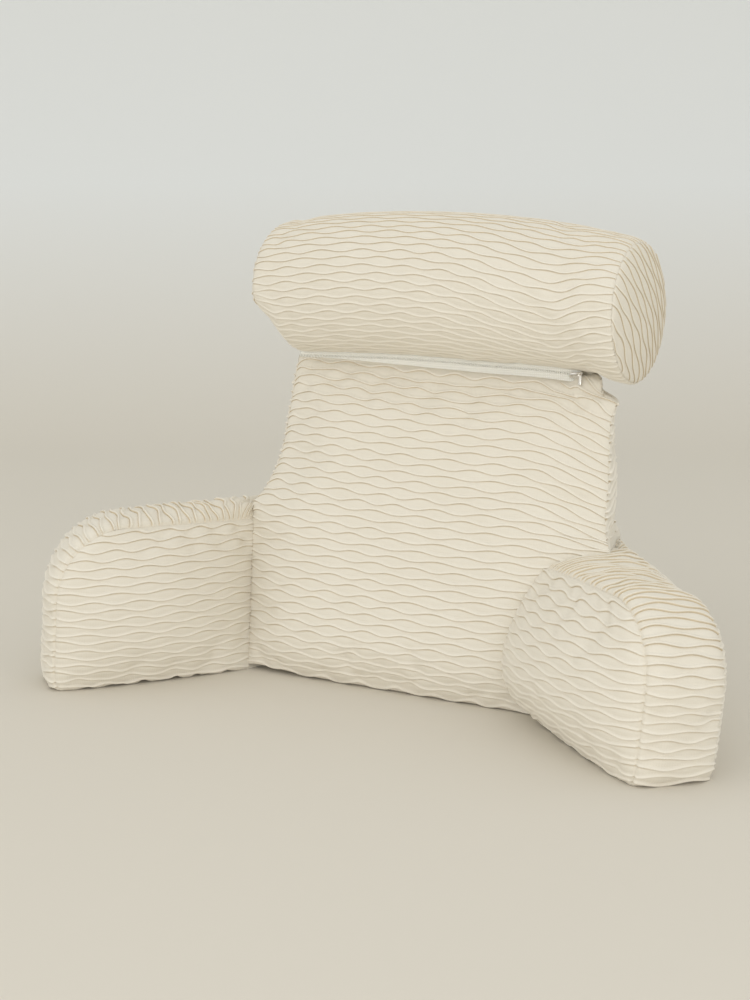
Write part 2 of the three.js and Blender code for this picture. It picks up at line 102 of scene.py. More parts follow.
def ease(t: Array, low: float, high: float) -> Array:
    """Rises smoothly from 0 at low to 1 at high."""
    share = np.clip((t - low) / (high - low), 0.0, 1.0)
    return share * share * (3 - 2 * share)


def near(t: Array, reach: float) -> Array:
    """Falls from 1 where t is 0 to 0 at reach, ever more slowly."""
    return np.clip(1 - t / reach, 0, 1) ** 2


def by_side(side: Array, left: Array, right: Array) -> Array:
    """Picks the left value where side is negative, and the right one elsewhere."""
    return np.where(np.asarray(side) < 0, left, right)


@dataclass(frozen=True)
class Stuffing:
    """How the filling rounds a panel out.

    Attributes:
        square: How squarely a panel is filled out to its edges.
        steep: How steeply the inner panel of an arm rises from its front seam: less is steeper.
    """

    square: int = 4
    steep: float = 0.75

    def plump(self, a: Array) -> Array:
        """Fullness across a panel, with a from -1 to 1."""
        return np.clip(1 - a ** self.square, 0.0, None)

    def dome(self, a: Array, b: Array) -> Array:
        """Fullness of a panel that is round both ways."""
        return self.plump(a) * np.sqrt(self.plump(b))

    def bowed(self, bow: float, a: Array, up: Array) -> Array:
        """How far a panel bows out below, where the filling sinks to."""
        return bow * self.plump(a) * (1 - up)

    def barrel(self, a: Array, b: Array, root: float) -> Array:
        """Fullness of a rounder panel that turns under slowly at its lower and upper edges.

        Args:
            a: Place along the panel, from -1 to 1.
            b: Place across it, from -1 to 1.
            root: How steeply it rises from the seam at a = -1, in the way of steep.

        Returns:
            The fullness, 1 at the middle.
        """
        return np.clip(1 - a ** 2, 0.0, None) ** np.where(a < 0, root, self.steep) * (1 - b ** 2)


STUFFING = Stuffing()


@dataclass(frozen=True)
class Pleat:
    """The wave pleat of the cloth, in millimetres.

    Attributes:
        pitch: Distance between neighbouring tucks.
        wave: Length of one wave of a tuck.
        sway: How far a tuck swings to each side.
        height: How far a tuck stands up.
        puff: How far the cloth swells between two tucks.
        fade: Distance from a seam over which a tuck flattens out.
        pressed: Share of its height that a tuck keeps where two cushions are sewn together.
        column: Distance between two columns of a panel's points.
        close: Distances of further columns beside a side seam.
        dip: How deep a seam draws the cloth in.
        dip_width: How far beside the seam that dip reaches.
        margin: Cloth kept clear beside a seam.
        turn: Most that a tuck's wave is turned out of step, in radians.
        slip: Most that a tuck lies off its place.
        wander: How far a wave is stretched and squeezed along its tuck, in radians.
        wander_long: Length over which it is.
        round: A whole turn, in radians, from which that starts anywhere.
        uneven: Least and most of a tuck's sway, as shares of the common one.
        widest: Most that a gap between two tucks swells the cloth, as a share of the pitch.
        crowded: Least share of its height that a tuck keeps where the cloth is drawn together.
        feel: Distance over which a panel's slope is read.
        fewest: Fewest columns of a panel with tucks.
        fewest_plain: Fewest rows or columns of one without.
    """

    pitch: float = 8.2
    wave: float = 46.0
    sway: float = 1.5
    height: float = 1.7
    puff: float = 1.0
    fade: float = 1.8
    pressed: float = 0.6
    column: float = 4.0
    close: tuple[float, ...] = (0.5, 1.0, 1.8)
    dip: float = 0.8
    dip_width: float = 1.5
    margin: float = 0.1
    turn: float = 0.35
    slip: float = 0.35
    wander: float = 0.5
    wander_long: float = 210.0
    round: float = 6.28
    uneven: tuple[float, float] = (0.8, 1.2)
    widest: float = 1.2
    crowded: float = 0.4
    feel: float = 2.0
    fewest: int = 6
    fewest_plain: int = 4


PLEAT = Pleat()


@dataclass(frozen=True)
class TuckPoint:
    """One point of a tuck's section.

    Attributes:
        free: Place from the tuck's line, in mm.
        flat: The same where the tuck runs flat into a seam.
        height: Height as a share of the tuck's.
        shade: Painted light, from -1 for a painted highlight on the crest to 1 for painted shade in the
            crease under it.
    """

    free: float
    flat: float
    height: float
    shade: float


# The section from below the tuck, over its crest, which leans down, to above it
TUCK = (
    TuckPoint(-0.55, -1.10, -0.06, 1.00),
    TuckPoint(-1.00, -0.70, 0.40, 0.75),
    TuckPoint(-0.95, -0.30, 0.80, 0.10),
    TuckPoint(-0.30, 0.10, 1.00, -0.80),
    TuckPoint(0.55, 0.65, 0.74, -0.60),
    TuckPoint(1.40, 1.30, 0.26, -0.10),
)

# Rows of points between two tucks, as shares of the way from one to the next
CELL = (0.22, 0.5, 0.78)


def inset(t: Array, length: float) -> Array:
    """Moves a share of a panel in from both of its ends by the seam's margin."""
    margin = PLEAT.margin / length
    return lerp(margin, 1 - margin, t)


@dataclass(frozen=True)
class Run:
    """How the tucks run over one panel.

    Attributes:
        seed: Start of the small irregularities.
        drift: Turn of the wave from one tuck to the next, past the half turn between neighbours.
        bend: Millimetres by which a tuck is moved across the panel, from u and v.
        spare: Tucks beyond the panel's end that a bend brings into it.
        lift: How high the tucks stand, as a share of the common height.
        span: Length of the panel at v, where it isn't the same all over.
        caught: Share of their height that the tucks lose in the panel's side seams.
        side_dip: Share of the seams' dip at the panel's sides, from u and v.
        end_dip: The same at its start and end.
        calm: Share of their height that the tucks keep, from u and v.
    """

    seed: int = 1
    drift: float = 0.12
    bend: Callable[[Array, float], Array] | None = None
    spare: int = 0
    lift: float = 1.0
    span: Callable[[Array], Array] | None = None
    caught: float = 0.6
    side_dip: Place | None = None
    end_dip: Place | None = None
    calm: Place | None = None


@dataclass
class Grid:
    """Points of one panel in rows across its tucks.

    Attributes:
        points: Places, as rows by columns by three.
        cloth: Flat place of each point in its cut panel, in mm.
        shade: Shade of each point, from crest to crease.
    """

    points: Array
    cloth: Array
    shade: Array


@dataclass
class Edges:
    """The four edges of a sewn-in panel, and its grid, as numbers of the cover's points."""

    grid: Array

    @property
    def start(self) -> list[int]:
        """The first row."""
        return self.grid[0].tolist()

    @property
    def end(self) -> list[int]:
        """The last row."""
        return self.grid[-1].tolist()

    @property
    def left(self) -> list[int]:
        """The first column."""
        return self.grid[:, 0].tolist()

    @property
    def right(self) -> list[int]:
        """The last column."""
        return self.grid[:, -1].tolist()


def catmull(field_grid: Array, rows: Array, columns: Array) -> Array:
    """Reads a coarse grid smoothly between its points.

    Args:
        field_grid: Values as rows by columns by three.
        rows: Places along the rows, from 0 to 1.
        columns: Places along the columns, from 0 to 1.

    Returns:
        A value for each place.
    """
    def weights(t: Array) -> list[Array]:
        """Weights of the four nearest points, at a place t between the middle two."""
        return [
            -0.5 * t + t ** 2 - 0.5 * t ** 3,
            1 - 2.5 * t ** 2 + 1.5 * t ** 3,
            0.5 * t + 2 * t ** 2 - 1.5 * t ** 3,
            -0.5 * t ** 2 + 0.5 * t ** 3,
        ]

    last_row, last_column = field_grid.shape[0] - 1, field_grid.shape[1] - 1
    row, column = np.clip(rows, 0, 1) * last_row, np.clip(columns, 0, 1) * last_column
    row_floor = np.minimum(row.astype(int), last_row - 1)
    column_floor = np.minimum(column.astype(int), last_column - 1)
    total = np.zeros((*rows.shape, 3))
    for a, row_weight in enumerate(weights(row - row_floor)):
        near_row = np.clip(row_floor + a - 1, 0, last_row)
        for b, column_weight in enumerate(weights(column - column_floor)):
            near_column = np.clip(column_floor + b - 1, 0, last_column)
            total += (row_weight * column_weight)[..., None] * field_grid[near_row, near_column]
    return total


@dataclass
class Panel:
    """One cut panel of cloth.

    Attributes:
        name: Name of the panel.
        place: Gives points from u along the tucks and v across them, both from 0 to 1.
        length: Size along the tucks.
        breadth: Size across them.
        run: How its tucks run.
        smooth: Whether it has no tucks.
        swell: How far the filling moves the panel, on a coarse grid, once it is known.
    """

    name: str
    place: Place
    length: float
    breadth: float
    run: Run = field(default_factory=Run)
    smooth: bool = False
    swell: Array | None = None

    def plain(self, spacing: float) -> Grid:
        """The panel without tucks, on a coarse grid.

        Args:
            spacing: Distance between two points.

        Returns:
            The grid.
        """
        columns = max(PLEAT.fewest_plain, round(self.length / spacing))
        rows = max(PLEAT.fewest_plain, round(self.breadth / spacing))
        u, v = np.meshgrid(np.linspace(0, 1, columns + 1), np.linspace(0, 1, rows + 1))
        cloth = np.stack([u * self.length, v * self.breadth], axis=-1)
        return Grid(self.place(u, v), cloth, np.zeros_like(u))

    def filled(self, u: Array, v: Array) -> Array:
        """The panel without tucks, moved by the filling."""
        points = self.place(u, v)
        return points if self.swell is None else points + catmull(self.swell, v, u)

    def columns(self) -> Array:
        """Places of the panel's columns, closer together beside its side seams.

        Returns:
            Places along the tucks.
        """
        even = np.linspace(0, 1, max(PLEAT.fewest, round(self.length / PLEAT.column)) + 1)
        close = np.array(PLEAT.close) / self.length
        return np.sort(np.concatenate([even, close, 1 - close]))

    def long_at(self, v: Array) -> Array:
        """Length of the panel along the tucks at v."""
        return self.length + 0 * v if self.run.span is None else self.run.span(v)

    def tuck_lines(self, u: Array) -> Array:
        """Where the tucks lie across the panel.

        Args:
            u: Places along the tucks, from 0 to 1.

        Returns:
            A row of v for each tuck.
        """
        draw = np.random.default_rng(self.run.seed)
        count = max(1, round(self.breadth / PLEAT.pitch))
        lines = []
        for k in range(count + self.run.spare):
            middle = (k + 0.5) / count
            phase = k * (math.pi + self.run.drift) + draw.uniform(-PLEAT.turn, PLEAT.turn)
            along = (u - 0.5) * float(self.long_at(np.float64(min(middle, 1.0))))
            started = draw.uniform(0, PLEAT.round)
            wobble = PLEAT.wander * np.sin(2 * math.pi * along / PLEAT.wander_long + started)
            swing = PLEAT.sway * draw.uniform(*PLEAT.uneven)
            wave = swing * np.sin(2 * math.pi * along / PLEAT.wave + phase + wobble)
            shift = wave + draw.uniform(-PLEAT.slip, PLEAT.slip)
            if self.run.bend is not None:
                shift = shift + self.run.bend(u, middle)
            lines.append(middle + shift / self.breadth)
        return np.array(lines)

    def pleated(self, middle: Array) -> Grid:
        """The panel with its tucks raised.

        Args:
            middle: A point inside the cushion, so that the tucks stand outwards.

        Returns:
            The grid.
        """
        if self.smooth:
            return self.plain(2 * PLEAT.column)
        u = self.columns()
        lines = self.tuck_lines(u)
        ends = ease(np.minimum(u, 1 - u) * self.length, 0.0, PLEAT.fade)
        places = [np.zeros_like(u)]
        heights = [np.zeros_like(u)]
        shades = [np.zeros_like(u)]

        def offset(part: TuckPoint) -> Array:
            """How far one point of the tucks lies from their lines, as a share of the panel."""
            return lerp(part.flat, part.free, ends) / self.breadth

        def cell(low: Array, high: Array) -> None:
            """Adds the rows of points between two tucks, or between a tuck and a seam."""
            wide = np.clip((high - low) * self.breadth / PLEAT.pitch, 0, PLEAT.widest)
            for share in CELL:
                places.append(lerp(low, high, share))
                heights.append(PLEAT.puff * 4 * share * (1 - share) * wide)
                shades.append(np.zeros_like(u))

        above = np.zeros_like(u)
        for line in lines:
            cell(above, line + offset(TUCK[0]))
            for part in TUCK:
                places.append(line + offset(part))
                heights.append(PLEAT.height * self.run.lift * part.height + 0 * u)
                shades.append(part.shade + 0 * u)
            above = line + offset(TUCK[-1])
        cell(above, np.ones_like(u))
        places.append(np.ones_like(u))
        heights.append(np.zeros_like(u))
        shades.append(np.zeros_like(u))

        v = np.clip(np.array(places), 0.0, 1.0)
        across = np.broadcast_to(u, v.shape)
        beside = np.minimum(v, 1 - v) * self.breadth
        aside = np.minimum(across, 1 - across) * self.long_at(v)
        points, normals, scale = self.surface(across, v, middle)
        raised = np.array(heights) * np.clip(scale, PLEAT.crowded, 1.0)
        shade = np.array(shades)
        dip = np.zeros_like(v)
        seams = ((aside, self.run.side_dip, self.run.caught), (beside, self.run.end_dip, 1.0))
        for far, free, caught in seams:
            share = 1.0 if free is None else free(across, v)
            clear = lerp(1 - caught, 1.0, ease(far, 0.0, PLEAT.fade))
            raised = raised * lerp(lerp(PLEAT.pressed, 1.0, clear), clear, share)
            shade = shade * lerp(1.0, clear, share)
            dip = np.maximum(dip, share * np.exp(-(far / PLEAT.dip_width) ** 2))
        if self.run.calm is not None:
            raised = raised * self.run.calm(across, v)
            shade = shade * self.run.calm(across, v)
        cloth = np.stack([across * self.length, v * self.breadth], axis=-1)
        return Grid(points + normals * (raised - PLEAT.dip * dip)[..., None], cloth, shade)

    def surface(self, u: Array, v: Array, middle: Array) -> tuple[Array, Array, Array]:
        """Points, outward normals and the share of its cut width that the cloth keeps there.

        Args:
            u: Places along the tucks.
            v: Places across them.
            middle: A point inside the cushion.

        Returns:
            Points, normals and shares.
        """
        step_u, step_v = PLEAT.feel / self.length, PLEAT.feel / self.breadth
        u_low, u_high = np.clip(u - step_u, 0, 1), np.clip(u + step_u, 0, 1)
        v_low, v_high = np.clip(v - step_v, 0, 1), np.clip(v + step_v, 0, 1)
        along = self.filled(u_high, v) - self.filled(u_low, v)
        across = self.filled(u, v_high) - self.filled(u, v_low)
        points = self.filled(u, v)
        normals = np.cross(along, across)
        sizes = np.linalg.norm(normals, axis=-1, keepdims=True)
        normals = normals / np.maximum(sizes, TINY)
        centre = (points.shape[0] // 2, points.shape[1] // 2)
        if np.dot(normals[centre], points[centre] - middle) < 0:
            normals = -normals
        cut = np.maximum((v_high - v_low) * self.breadth, TINY)
        return points, normals, np.linalg.norm(across, axis=-1) / cut


class Cover:
    """A closed cover sewn together from panels."""

    def __init__(self) -> None:
        """Starts with no panels."""
        self.points: list[list[float]] = []
        self.cloth: list[list[float]] = []
        self.shade: list[float] = []
        self.faces: list[tuple[int, ...]] = []
        self.flat: set[int] = set()

    def add(self, grid: Grid, flat: bool = False) -> Edges:
        """Adds a panel.

        Args:
            grid: Its points.
            flat: Whether its faces are shaded flat, as hidden ones are.

        Returns:
            The panel's edges.
        """
        rows, columns = grid.shade.shape
        numbers = np.arange(rows * columns).reshape(rows, columns) + len(self.points)
        self.points.extend(grid.points.reshape(-1, 3).tolist())
        self.cloth.extend(grid.cloth.reshape(-1, 2).tolist())
        self.shade.extend(grid.shade.reshape(-1).tolist())
        low, high = numbers[:-1], numbers[1:]
        quads = np.stack([low[:, :-1], low[:, 1:], high[:, 1:], high[:, :-1]], axis=-1)
        first = len(self.faces)
        self.faces.extend(map(tuple, quads.reshape(-1, 4).tolist()))
        if flat:
            self.flat.update(range(first, len(self.faces)))
        return Edges(numbers)

    def reach(self, a: int, b: int) -> float:
        """Distance between two points."""
        return math.dist(self.points[a], self.points[b])

    def sew(self, first: list[int], second: list[int], flat: bool = False) -> None:
        """Sews two edges that run the same way, always across the shorter of the next two stitches.

        Args:
            first: Points of one edge.
            second: Points of the other.
            flat: Whether the faces between them are shaded flat, as hidden ones are.
        """
        start = len(self.faces)
        i, j = 0, 0
        while i + 1 < len(first) or j + 1 < len(second):
            go_first = self.reach(first[i + 1], second[j]) if i + 1 < len(first) else math.inf
            go_second = self.reach(first[i], second[j + 1]) if j + 1 < len(second) else math.inf
            if go_first <= go_second:
                self.faces.append((first[i], first[i + 1], second[j]))
                i += 1
            else:
                self.faces.append((second[j], second[j + 1], first[i]))
                j += 1
        if flat:
            self.flat.update(range(start, len(self.faces)))

    def split(self, edge: list[int], height: float) -> tuple[list[int], list[int]]:
        """Splits an upright edge at a height; the point where it splits is in both parts.

        Args:
            edge: Points from the bottom up.
            height: Where it splits.

        Returns:
            The points below and the points above.
        """
        last = max(k for k, number in enumerate(edge) if self.points[number][2] <= height)
        return edge[:last + 1], edge[last:]

    def sew_round(self, ring: list[int], rim: list[int]) -> None:
        """Sews two closed edges to each other.

        Args:
            ring: Points once round, without the first repeated.
            rim: The same for the other edge, from any start and either way round.
        """
        first = min(range(len(rim)), key=lambda k: self.reach(rim[k], ring[0]))
        loop = rim[first:] + rim[:first + 1]
        tried, eighth = max(1, len(loop) // 8), len(ring) // 8
        if self.reach(loop[tried], ring[eighth]) > self.reach(loop[tried], ring[-eighth]):
            loop = loop[::-1]
        self.sew(ring + ring[:1], loop)

    def joined(self) -> tuple["Cover", Array]:
        """Makes points at the same place one, because two with no cloth between them stop a simulation.

        Returns:
            The joined cover, and the number there of each point of this one.
        """
        kept: dict[tuple[float, ...], int] = {}
        places = np.round(np.array(self.points), APART).tolist()
        share = np.array([kept.setdefault(tuple(place), len(kept)) for place in places])
        firsts = np.unique(share, return_index=True)[1]
        form = Cover()
        form.points = [self.points[number] for number in firsts]
        form.cloth = [self.cloth[number] for number in firsts]
        form.shade = [self.shade[number] for number in firsts]
        faces = [tuple(dict.fromkeys(share[list(face)].tolist())) for face in self.faces]
        form.faces = [face for face in faces if len(face) > 2]
        return form, share

    def mesh(self, name: str, shift: Array, merge: bool = True) -> Object:
        """Makes the closed mesh.

        Args:
            name: Name of the piece.
            shift: Place of the pattern's origin in the shared frame, in mm.
            merge: Whether points at the same place become one.

        Returns:
            The piece, in metres.
        """
        made = bpy.data.meshes.new(name)
        places = (np.array(self.points) + shift) * MM
        made.from_pydata(places.tolist(), [], self.faces)
        shade = made.attributes.new("shade", "FLOAT", "POINT")
        shade.data.foreach_set("value", np.array(self.shade, np.float32))
        corners = np.zeros(len(made.loops), np.int32)
        made.loops.foreach_get("vertex_index", corners)
        flat = np.array(self.cloth, np.float32)[corners] * MM
        made.uv_layers.new(name="cloth").data.foreach_set("uv", flat.ravel())
        soft = [number not in self.flat for number in range(len(self.faces))]
        made.polygons.foreach_set("use_smooth", soft)
        work = bmesh.new()
        work.from_mesh(made)
        if merge:
            bmesh.ops.remove_doubles(work, verts=work.verts, dist=MERGE * MM)
        open_edges = [edge for edge in work.edges if edge.is_boundary]
        bmesh.ops.holes_fill(work, edges=open_edges, sides=0)
        bmesh.ops.recalc_face_normals(work, faces=work.faces)
        work.to_mesh(made)
        work.free()
        piece = bpy.data.objects.new(name, made)
        bpy.context.scene.collection.objects.link(piece)
        return piece


@dataclass(frozen=True)
class Filling:
    """The fibre filling, which swells the panels between their seams.

    Attributes:
        pressure: Push of the filling.
        slack: Spare cloth, as a share, which puckers beside the seams.
        spacing: Distance between the points of the simulated cover.
        frames: Steps of the simulation.
        quality: Smaller steps in each of them.
        mass: Weight of the cloth at a point, in kg.
        stretch: How hard the cloth is to stretch or press together.
        shear: How hard it is to pull askew.
        bending: How hard it is to bend.
    """

    pressure: float = 2.0
    slack: float = 0.012
    spacing: float = 11.0
    frames: int = 18
    quality: int = 5
    mass: float = 0.3
    stretch: float = 12.0
    shear: float = 6.0
    bending: float = 0.6

    def swell(self, cover: Cover, seams: set[int], cap: float) -> Array:
        """Lets the filling push a plain cover outwards.

        Args:
            cover: The plain cover.
            seams: Points that are sewn and stay.
            cap: Farthest that a point may move, in mm.

        Returns:
            How far each point moves, in mm.
        """
        form, share = cover.joined()
        piece = form.mesh("filling_form", np.zeros(3), merge=False)
        count = len(piece.data.vertices)
        before = np.array(form.points)
        group = piece.vertex_groups.new(name="sewn")
        group.add(sorted({int(share[number]) for number in seams}), 1.0, "REPLACE")
        cloth = piece.modifiers.new("Cloth", "CLOTH")
        settings = cloth.settings
        settings.quality = self.quality
        settings.mass = self.mass
        settings.tension_stiffness = self.stretch
        settings.compression_stiffness = self.stretch
        settings.shear_stiffness = self.shear
        settings.bending_stiffness = self.bending
        settings.use_pressure = True
        settings.uniform_pressure_force = self.pressure
        settings.shrink_min = -self.slack
        settings.vertex_group_mass = "sewn"
        settings.effector_weights.gravity = 0.0
        cloth.collision_settings.use_collision = False
        cloth.point_cache.frame_start = 1
        cloth.point_cache.frame_end = self.frames
        scene = bpy.context.scene
        for number in range(1, self.frames + 1):
            scene.frame_set(number)
        graph = bpy.context.evaluated_depsgraph_get()
        settled = piece.evaluated_get(graph).to_mesh()
        after = np.zeros(count * 3, np.float32)
        settled.vertices.foreach_get("co", after)
        piece.evaluated_get(graph).to_mesh_clear()
        scene.frame_set(1)
        bpy.data.objects.remove(piece)
        if count != len(before):
            raise RuntimeError("the filling's form lost points")
        moved = after.reshape(-1, 3) / MM - before
        far = np.linalg.norm(moved, axis=1, keepdims=True)
        LOG.info("filling moves the cover by %.1f mm on average, %.1f at most", far.mean(), far.max())
        return (moved * np.minimum(1.0, cap / np.maximum(far, TINY)))[share]


FILLING = Filling()


@dataclass
class Cushion:
    """A cushion whose cover is sewn from panels.

    Attributes:
        name: Name of the piece.
        node: Name of the plain solid that it stands for.
        fill: How tightly it is filled; not used.
        give: Farthest that the filling may push its cover out, in mm.
    """

    name: str
    node: str
    fill: float
    give: float

    def middle(self) -> Array:
        """A point inside the cushion."""
        raise NotImplementedError

    def panels(self) -> list[Panel]:
        """The panels of its cover."""
        raise NotImplementedError

    def sew(self, cover: Cover, edges: dict[str, Edges]) -> None:
        """Sews the panels together."""
        raise NotImplementedError

    def build(self, shift: Array) -> Object:
        """Fills, pleats and sews the cushion.

        Args:
            shift: Place of the pattern's origin in the shared frame, in mm.

        Returns:
            The finished piece, without its finish.
        """
        panels = self.panels()
        form = Cover()
        laid = {panel.name: form.add(panel.plain(FILLING.spacing)) for panel in panels}
        self.sew(form, laid)
        seams = {n for e in laid.values() for n in (*e.start, *e.end, *e.left, *e.right)}
        moved = FILLING.swell(form, seams, self.give)
        for panel in panels:
            panel.swell = moved[laid[panel.name].grid]
        cover = Cover()
        edges = {panel.name: cover.add(panel.pleated(self.middle()), panel.smooth) for panel in panels}
        self.sew(cover, edges)
        piece = cover.mesh(self.name, shift)
        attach(piece, BODY)
        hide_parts(self.node)
        return piece


@dataclass
class NeckRoll(Cushion):
    """The round neck roll: fullest at its middle, its ends hanging and its right end lower."""

    name: str = "neck_roll_cover"
    node: str = "neck_roll"
    fill: float = 0.85
    give: float = 1.0
    # Body, and how it tapers to its ends
    x: float = 10.5
    half: float = 205.5
    end_radius: float = 69.0
    crown: float = 6.0
    taper: int = 3
    shoulder: float = 0.7
    # Axis
    y: float = 119.0
    z: float = 407.0
    tilt: float = -0.028
    hang: float = 13.0
    # End discs, with their tucks turned by degrees
    end_crown: float = 10.0
    end_turn: float = 54.0
    # Underside, drawn up by the zip and hanging past its end
    zip_y: float = 107.0
    rise: float = 4.0
    rise_start: float = 25.0
    rise_end: float = 135.0
    sag: float = 7.0
    sag_start: float = 160.0
    pinch: float = 36.0
    pinch_start: float = 177.0
    # Tucks that are drawn down to the slider
    gather: float = 0.9
    gather_x: float = 152.0
    gather_left: float = 80.0
    gather_right: float = 34.0
    gather_high: float = 70.0
    chord_least: float = 0.01

    def axis(self, x: Array) -> Array:
        """Height of the roll's axis at x."""
        along = x - self.x
        return self.z + self.tilt * along - self.hang * (along / self.half) ** 2

    def radius(self, x: Array) -> Array:
        """Radius over the crests at x."""
        t = np.minimum(1.0, np.abs(x - self.x) / self.half)
        return self.end_radius + self.crown * (1 - t ** self.taper) ** self.shoulder

    def below(self, x: Array, y: Array, hung: Array) -> Array:
        """Height of the roll's lower half at x and y.

        Args:
            x: Places along the roll.
            y: Depths.
            hung: How far its foot hangs.

        Returns:
            Heights.
        """
        across = np.minimum(np.abs(y - self.y), self.radius(x))
        drop = np.sqrt(self.radius(x) ** 2 - across ** 2)
        return self.axis(x) - drop * (1 + hung / self.radius(x))

    def underside(self, x: Array, y: Array) -> Array:
        """Height of the underside along the zip, at x and y."""
        return self.below(x, y, -self.zip_rise(x))

    def lowest(self, x: Array, y: Array) -> Array:
        """Height of the underside with its loose cloth, at x and y."""
        return self.below(x, y, self.loose(x))

    def zip_rise(self, x: Array) -> Array:
        """How far the zip draws the underside up at x."""
        return self.rise * ease(x - self.x, self.rise_start, self.rise_end)

    def middle(self) -> Array:
        """A point inside the roll."""
        return np.array([self.x, self.y, self.z])

    def place_body(self, u: Array, v: Array) -> Array:
        """The long body, from the zip round and back to it.

        Args:
            u: Places along the tucks.
            v: Places across them.

        Returns:
            The points.
        """
        start = -math.acos((self.y - self.zip_y) / self.end_radius)
        angle = start + 2 * math.pi * v
        x = self.x + (2 * inset(u, 2 * self.half) - 1) * self.half
        radius = self.radius(x) - PLEAT.height
        below = np.clip(-np.sin(angle), 0, 1)
        y = self.y - radius * np.cos(angle)
        return vectors(x, y, self.axis(x) + radius * np.sin(angle) - self.loose(x) * below)

    def loose(self, x: Array) -> Array:
        """How far the underside hangs past the zip's right end, and is drawn up elsewhere.

        Args:
            x: Places along the roll.

        Returns:
            Distances down.
        """
        along = x - self.x
        hung = self.sag * ease(along, self.sag_start, self.half)
        drawn = np.clip((-along - self.pinch_start) / (self.half - self.pinch_start), 0, 1)
        return hung - self.zip_rise(x) - self.pinch * drawn

    def gather_bend(self, u: Array, v: float) -> Array:
        """How far a tuck of the body is drawn down towards the slider.

        Args:
            u: Places along the tucks.
            v: Place of the tuck.

        Returns:
            Distances across the tucks.
        """
        aside = self.x + (2 * u - 1) * self.half - self.gather_x
        aside = aside / np.where(aside < 0, self.gather_left, self.gather_right)
        from_zip = v * self.round_size()
        return -self.gather * from_zip * np.exp(-aside ** 2 - from_zip / self.gather_high)

    def round_size(self) -> float:
        """Size of the body once round."""
        return 2 * math.pi * (self.end_radius + self.crown)

    def place_end(self, side: int) -> Place:
        """One of the two end discs, whose tucks run slantwise.

        Args:
            side: -1 for the left, 1 for the right.

        Returns:
            The function that places it.
        """
        reach = self.end_radius - PLEAT.height - PLEAT.margin
        turn = math.radians(self.end_turn)
        end_x = self.x + side * self.half

        def place(u: Array, v: Array) -> Array:
            """The disc's points."""
            across = (2 * v - 1) * (reach - PLEAT.margin)
            along = (2 * u - 1) * np.sqrt(reach ** 2 - across ** 2)
            full = self.end_crown * (1 - (across ** 2 + along ** 2) / reach ** 2)
            y = self.y + along * math.cos(turn) + across * math.sin(turn)
            z = -along * math.sin(turn) + across * math.cos(turn)
            below = np.clip(-z / reach, 0, 1)
            return vectors(end_x + side * full, y, self.axis(end_x) + z - self.loose(end_x) * below)

        return place

    def panels(self) -> list[Panel]:
        """The body and the two end discs.

        Returns:
            The panels.
        """
        wide = 2 * (self.end_radius - PLEAT.height)
        body = Run(seed=11, bend=self.gather_bend)
        return [
            Panel("body", self.place_body, 2 * self.half, self.round_size(), body),
            Panel("end_left", self.place_end(-1), wide, wide, Run(seed=12, span=self.chord)),
            Panel("end_right", self.place_end(1), wide, wide, Run(seed=13, span=self.chord)),
        ]

    def chord(self, v: Array) -> Array:
        """Length of an end disc at v."""
        reach = self.end_radius - PLEAT.height
        return 2 * reach * np.sqrt(np.maximum(self.chord_least, 1 - (2 * v - 1) ** 2))

    def sew(self, cover: Cover, edges: dict[str, Edges]) -> None:
        """Closes the body along the zip and sews the discs into its ends.

        Args:
            cover: The cover that is sewn.
            edges: Edges of each panel, by its name.
        """
        body = edges["body"]
        cover.sew(body.start, body.end)
        for name, ring in (("end_left", body.left), ("end_right", body.right)):
            disc = edges[name]
            rim = disc.start + disc.right[1:] + disc.end[::-1][1:] + disc.left[::-1][1:-1]
            cover.sew_round(ring, rim)


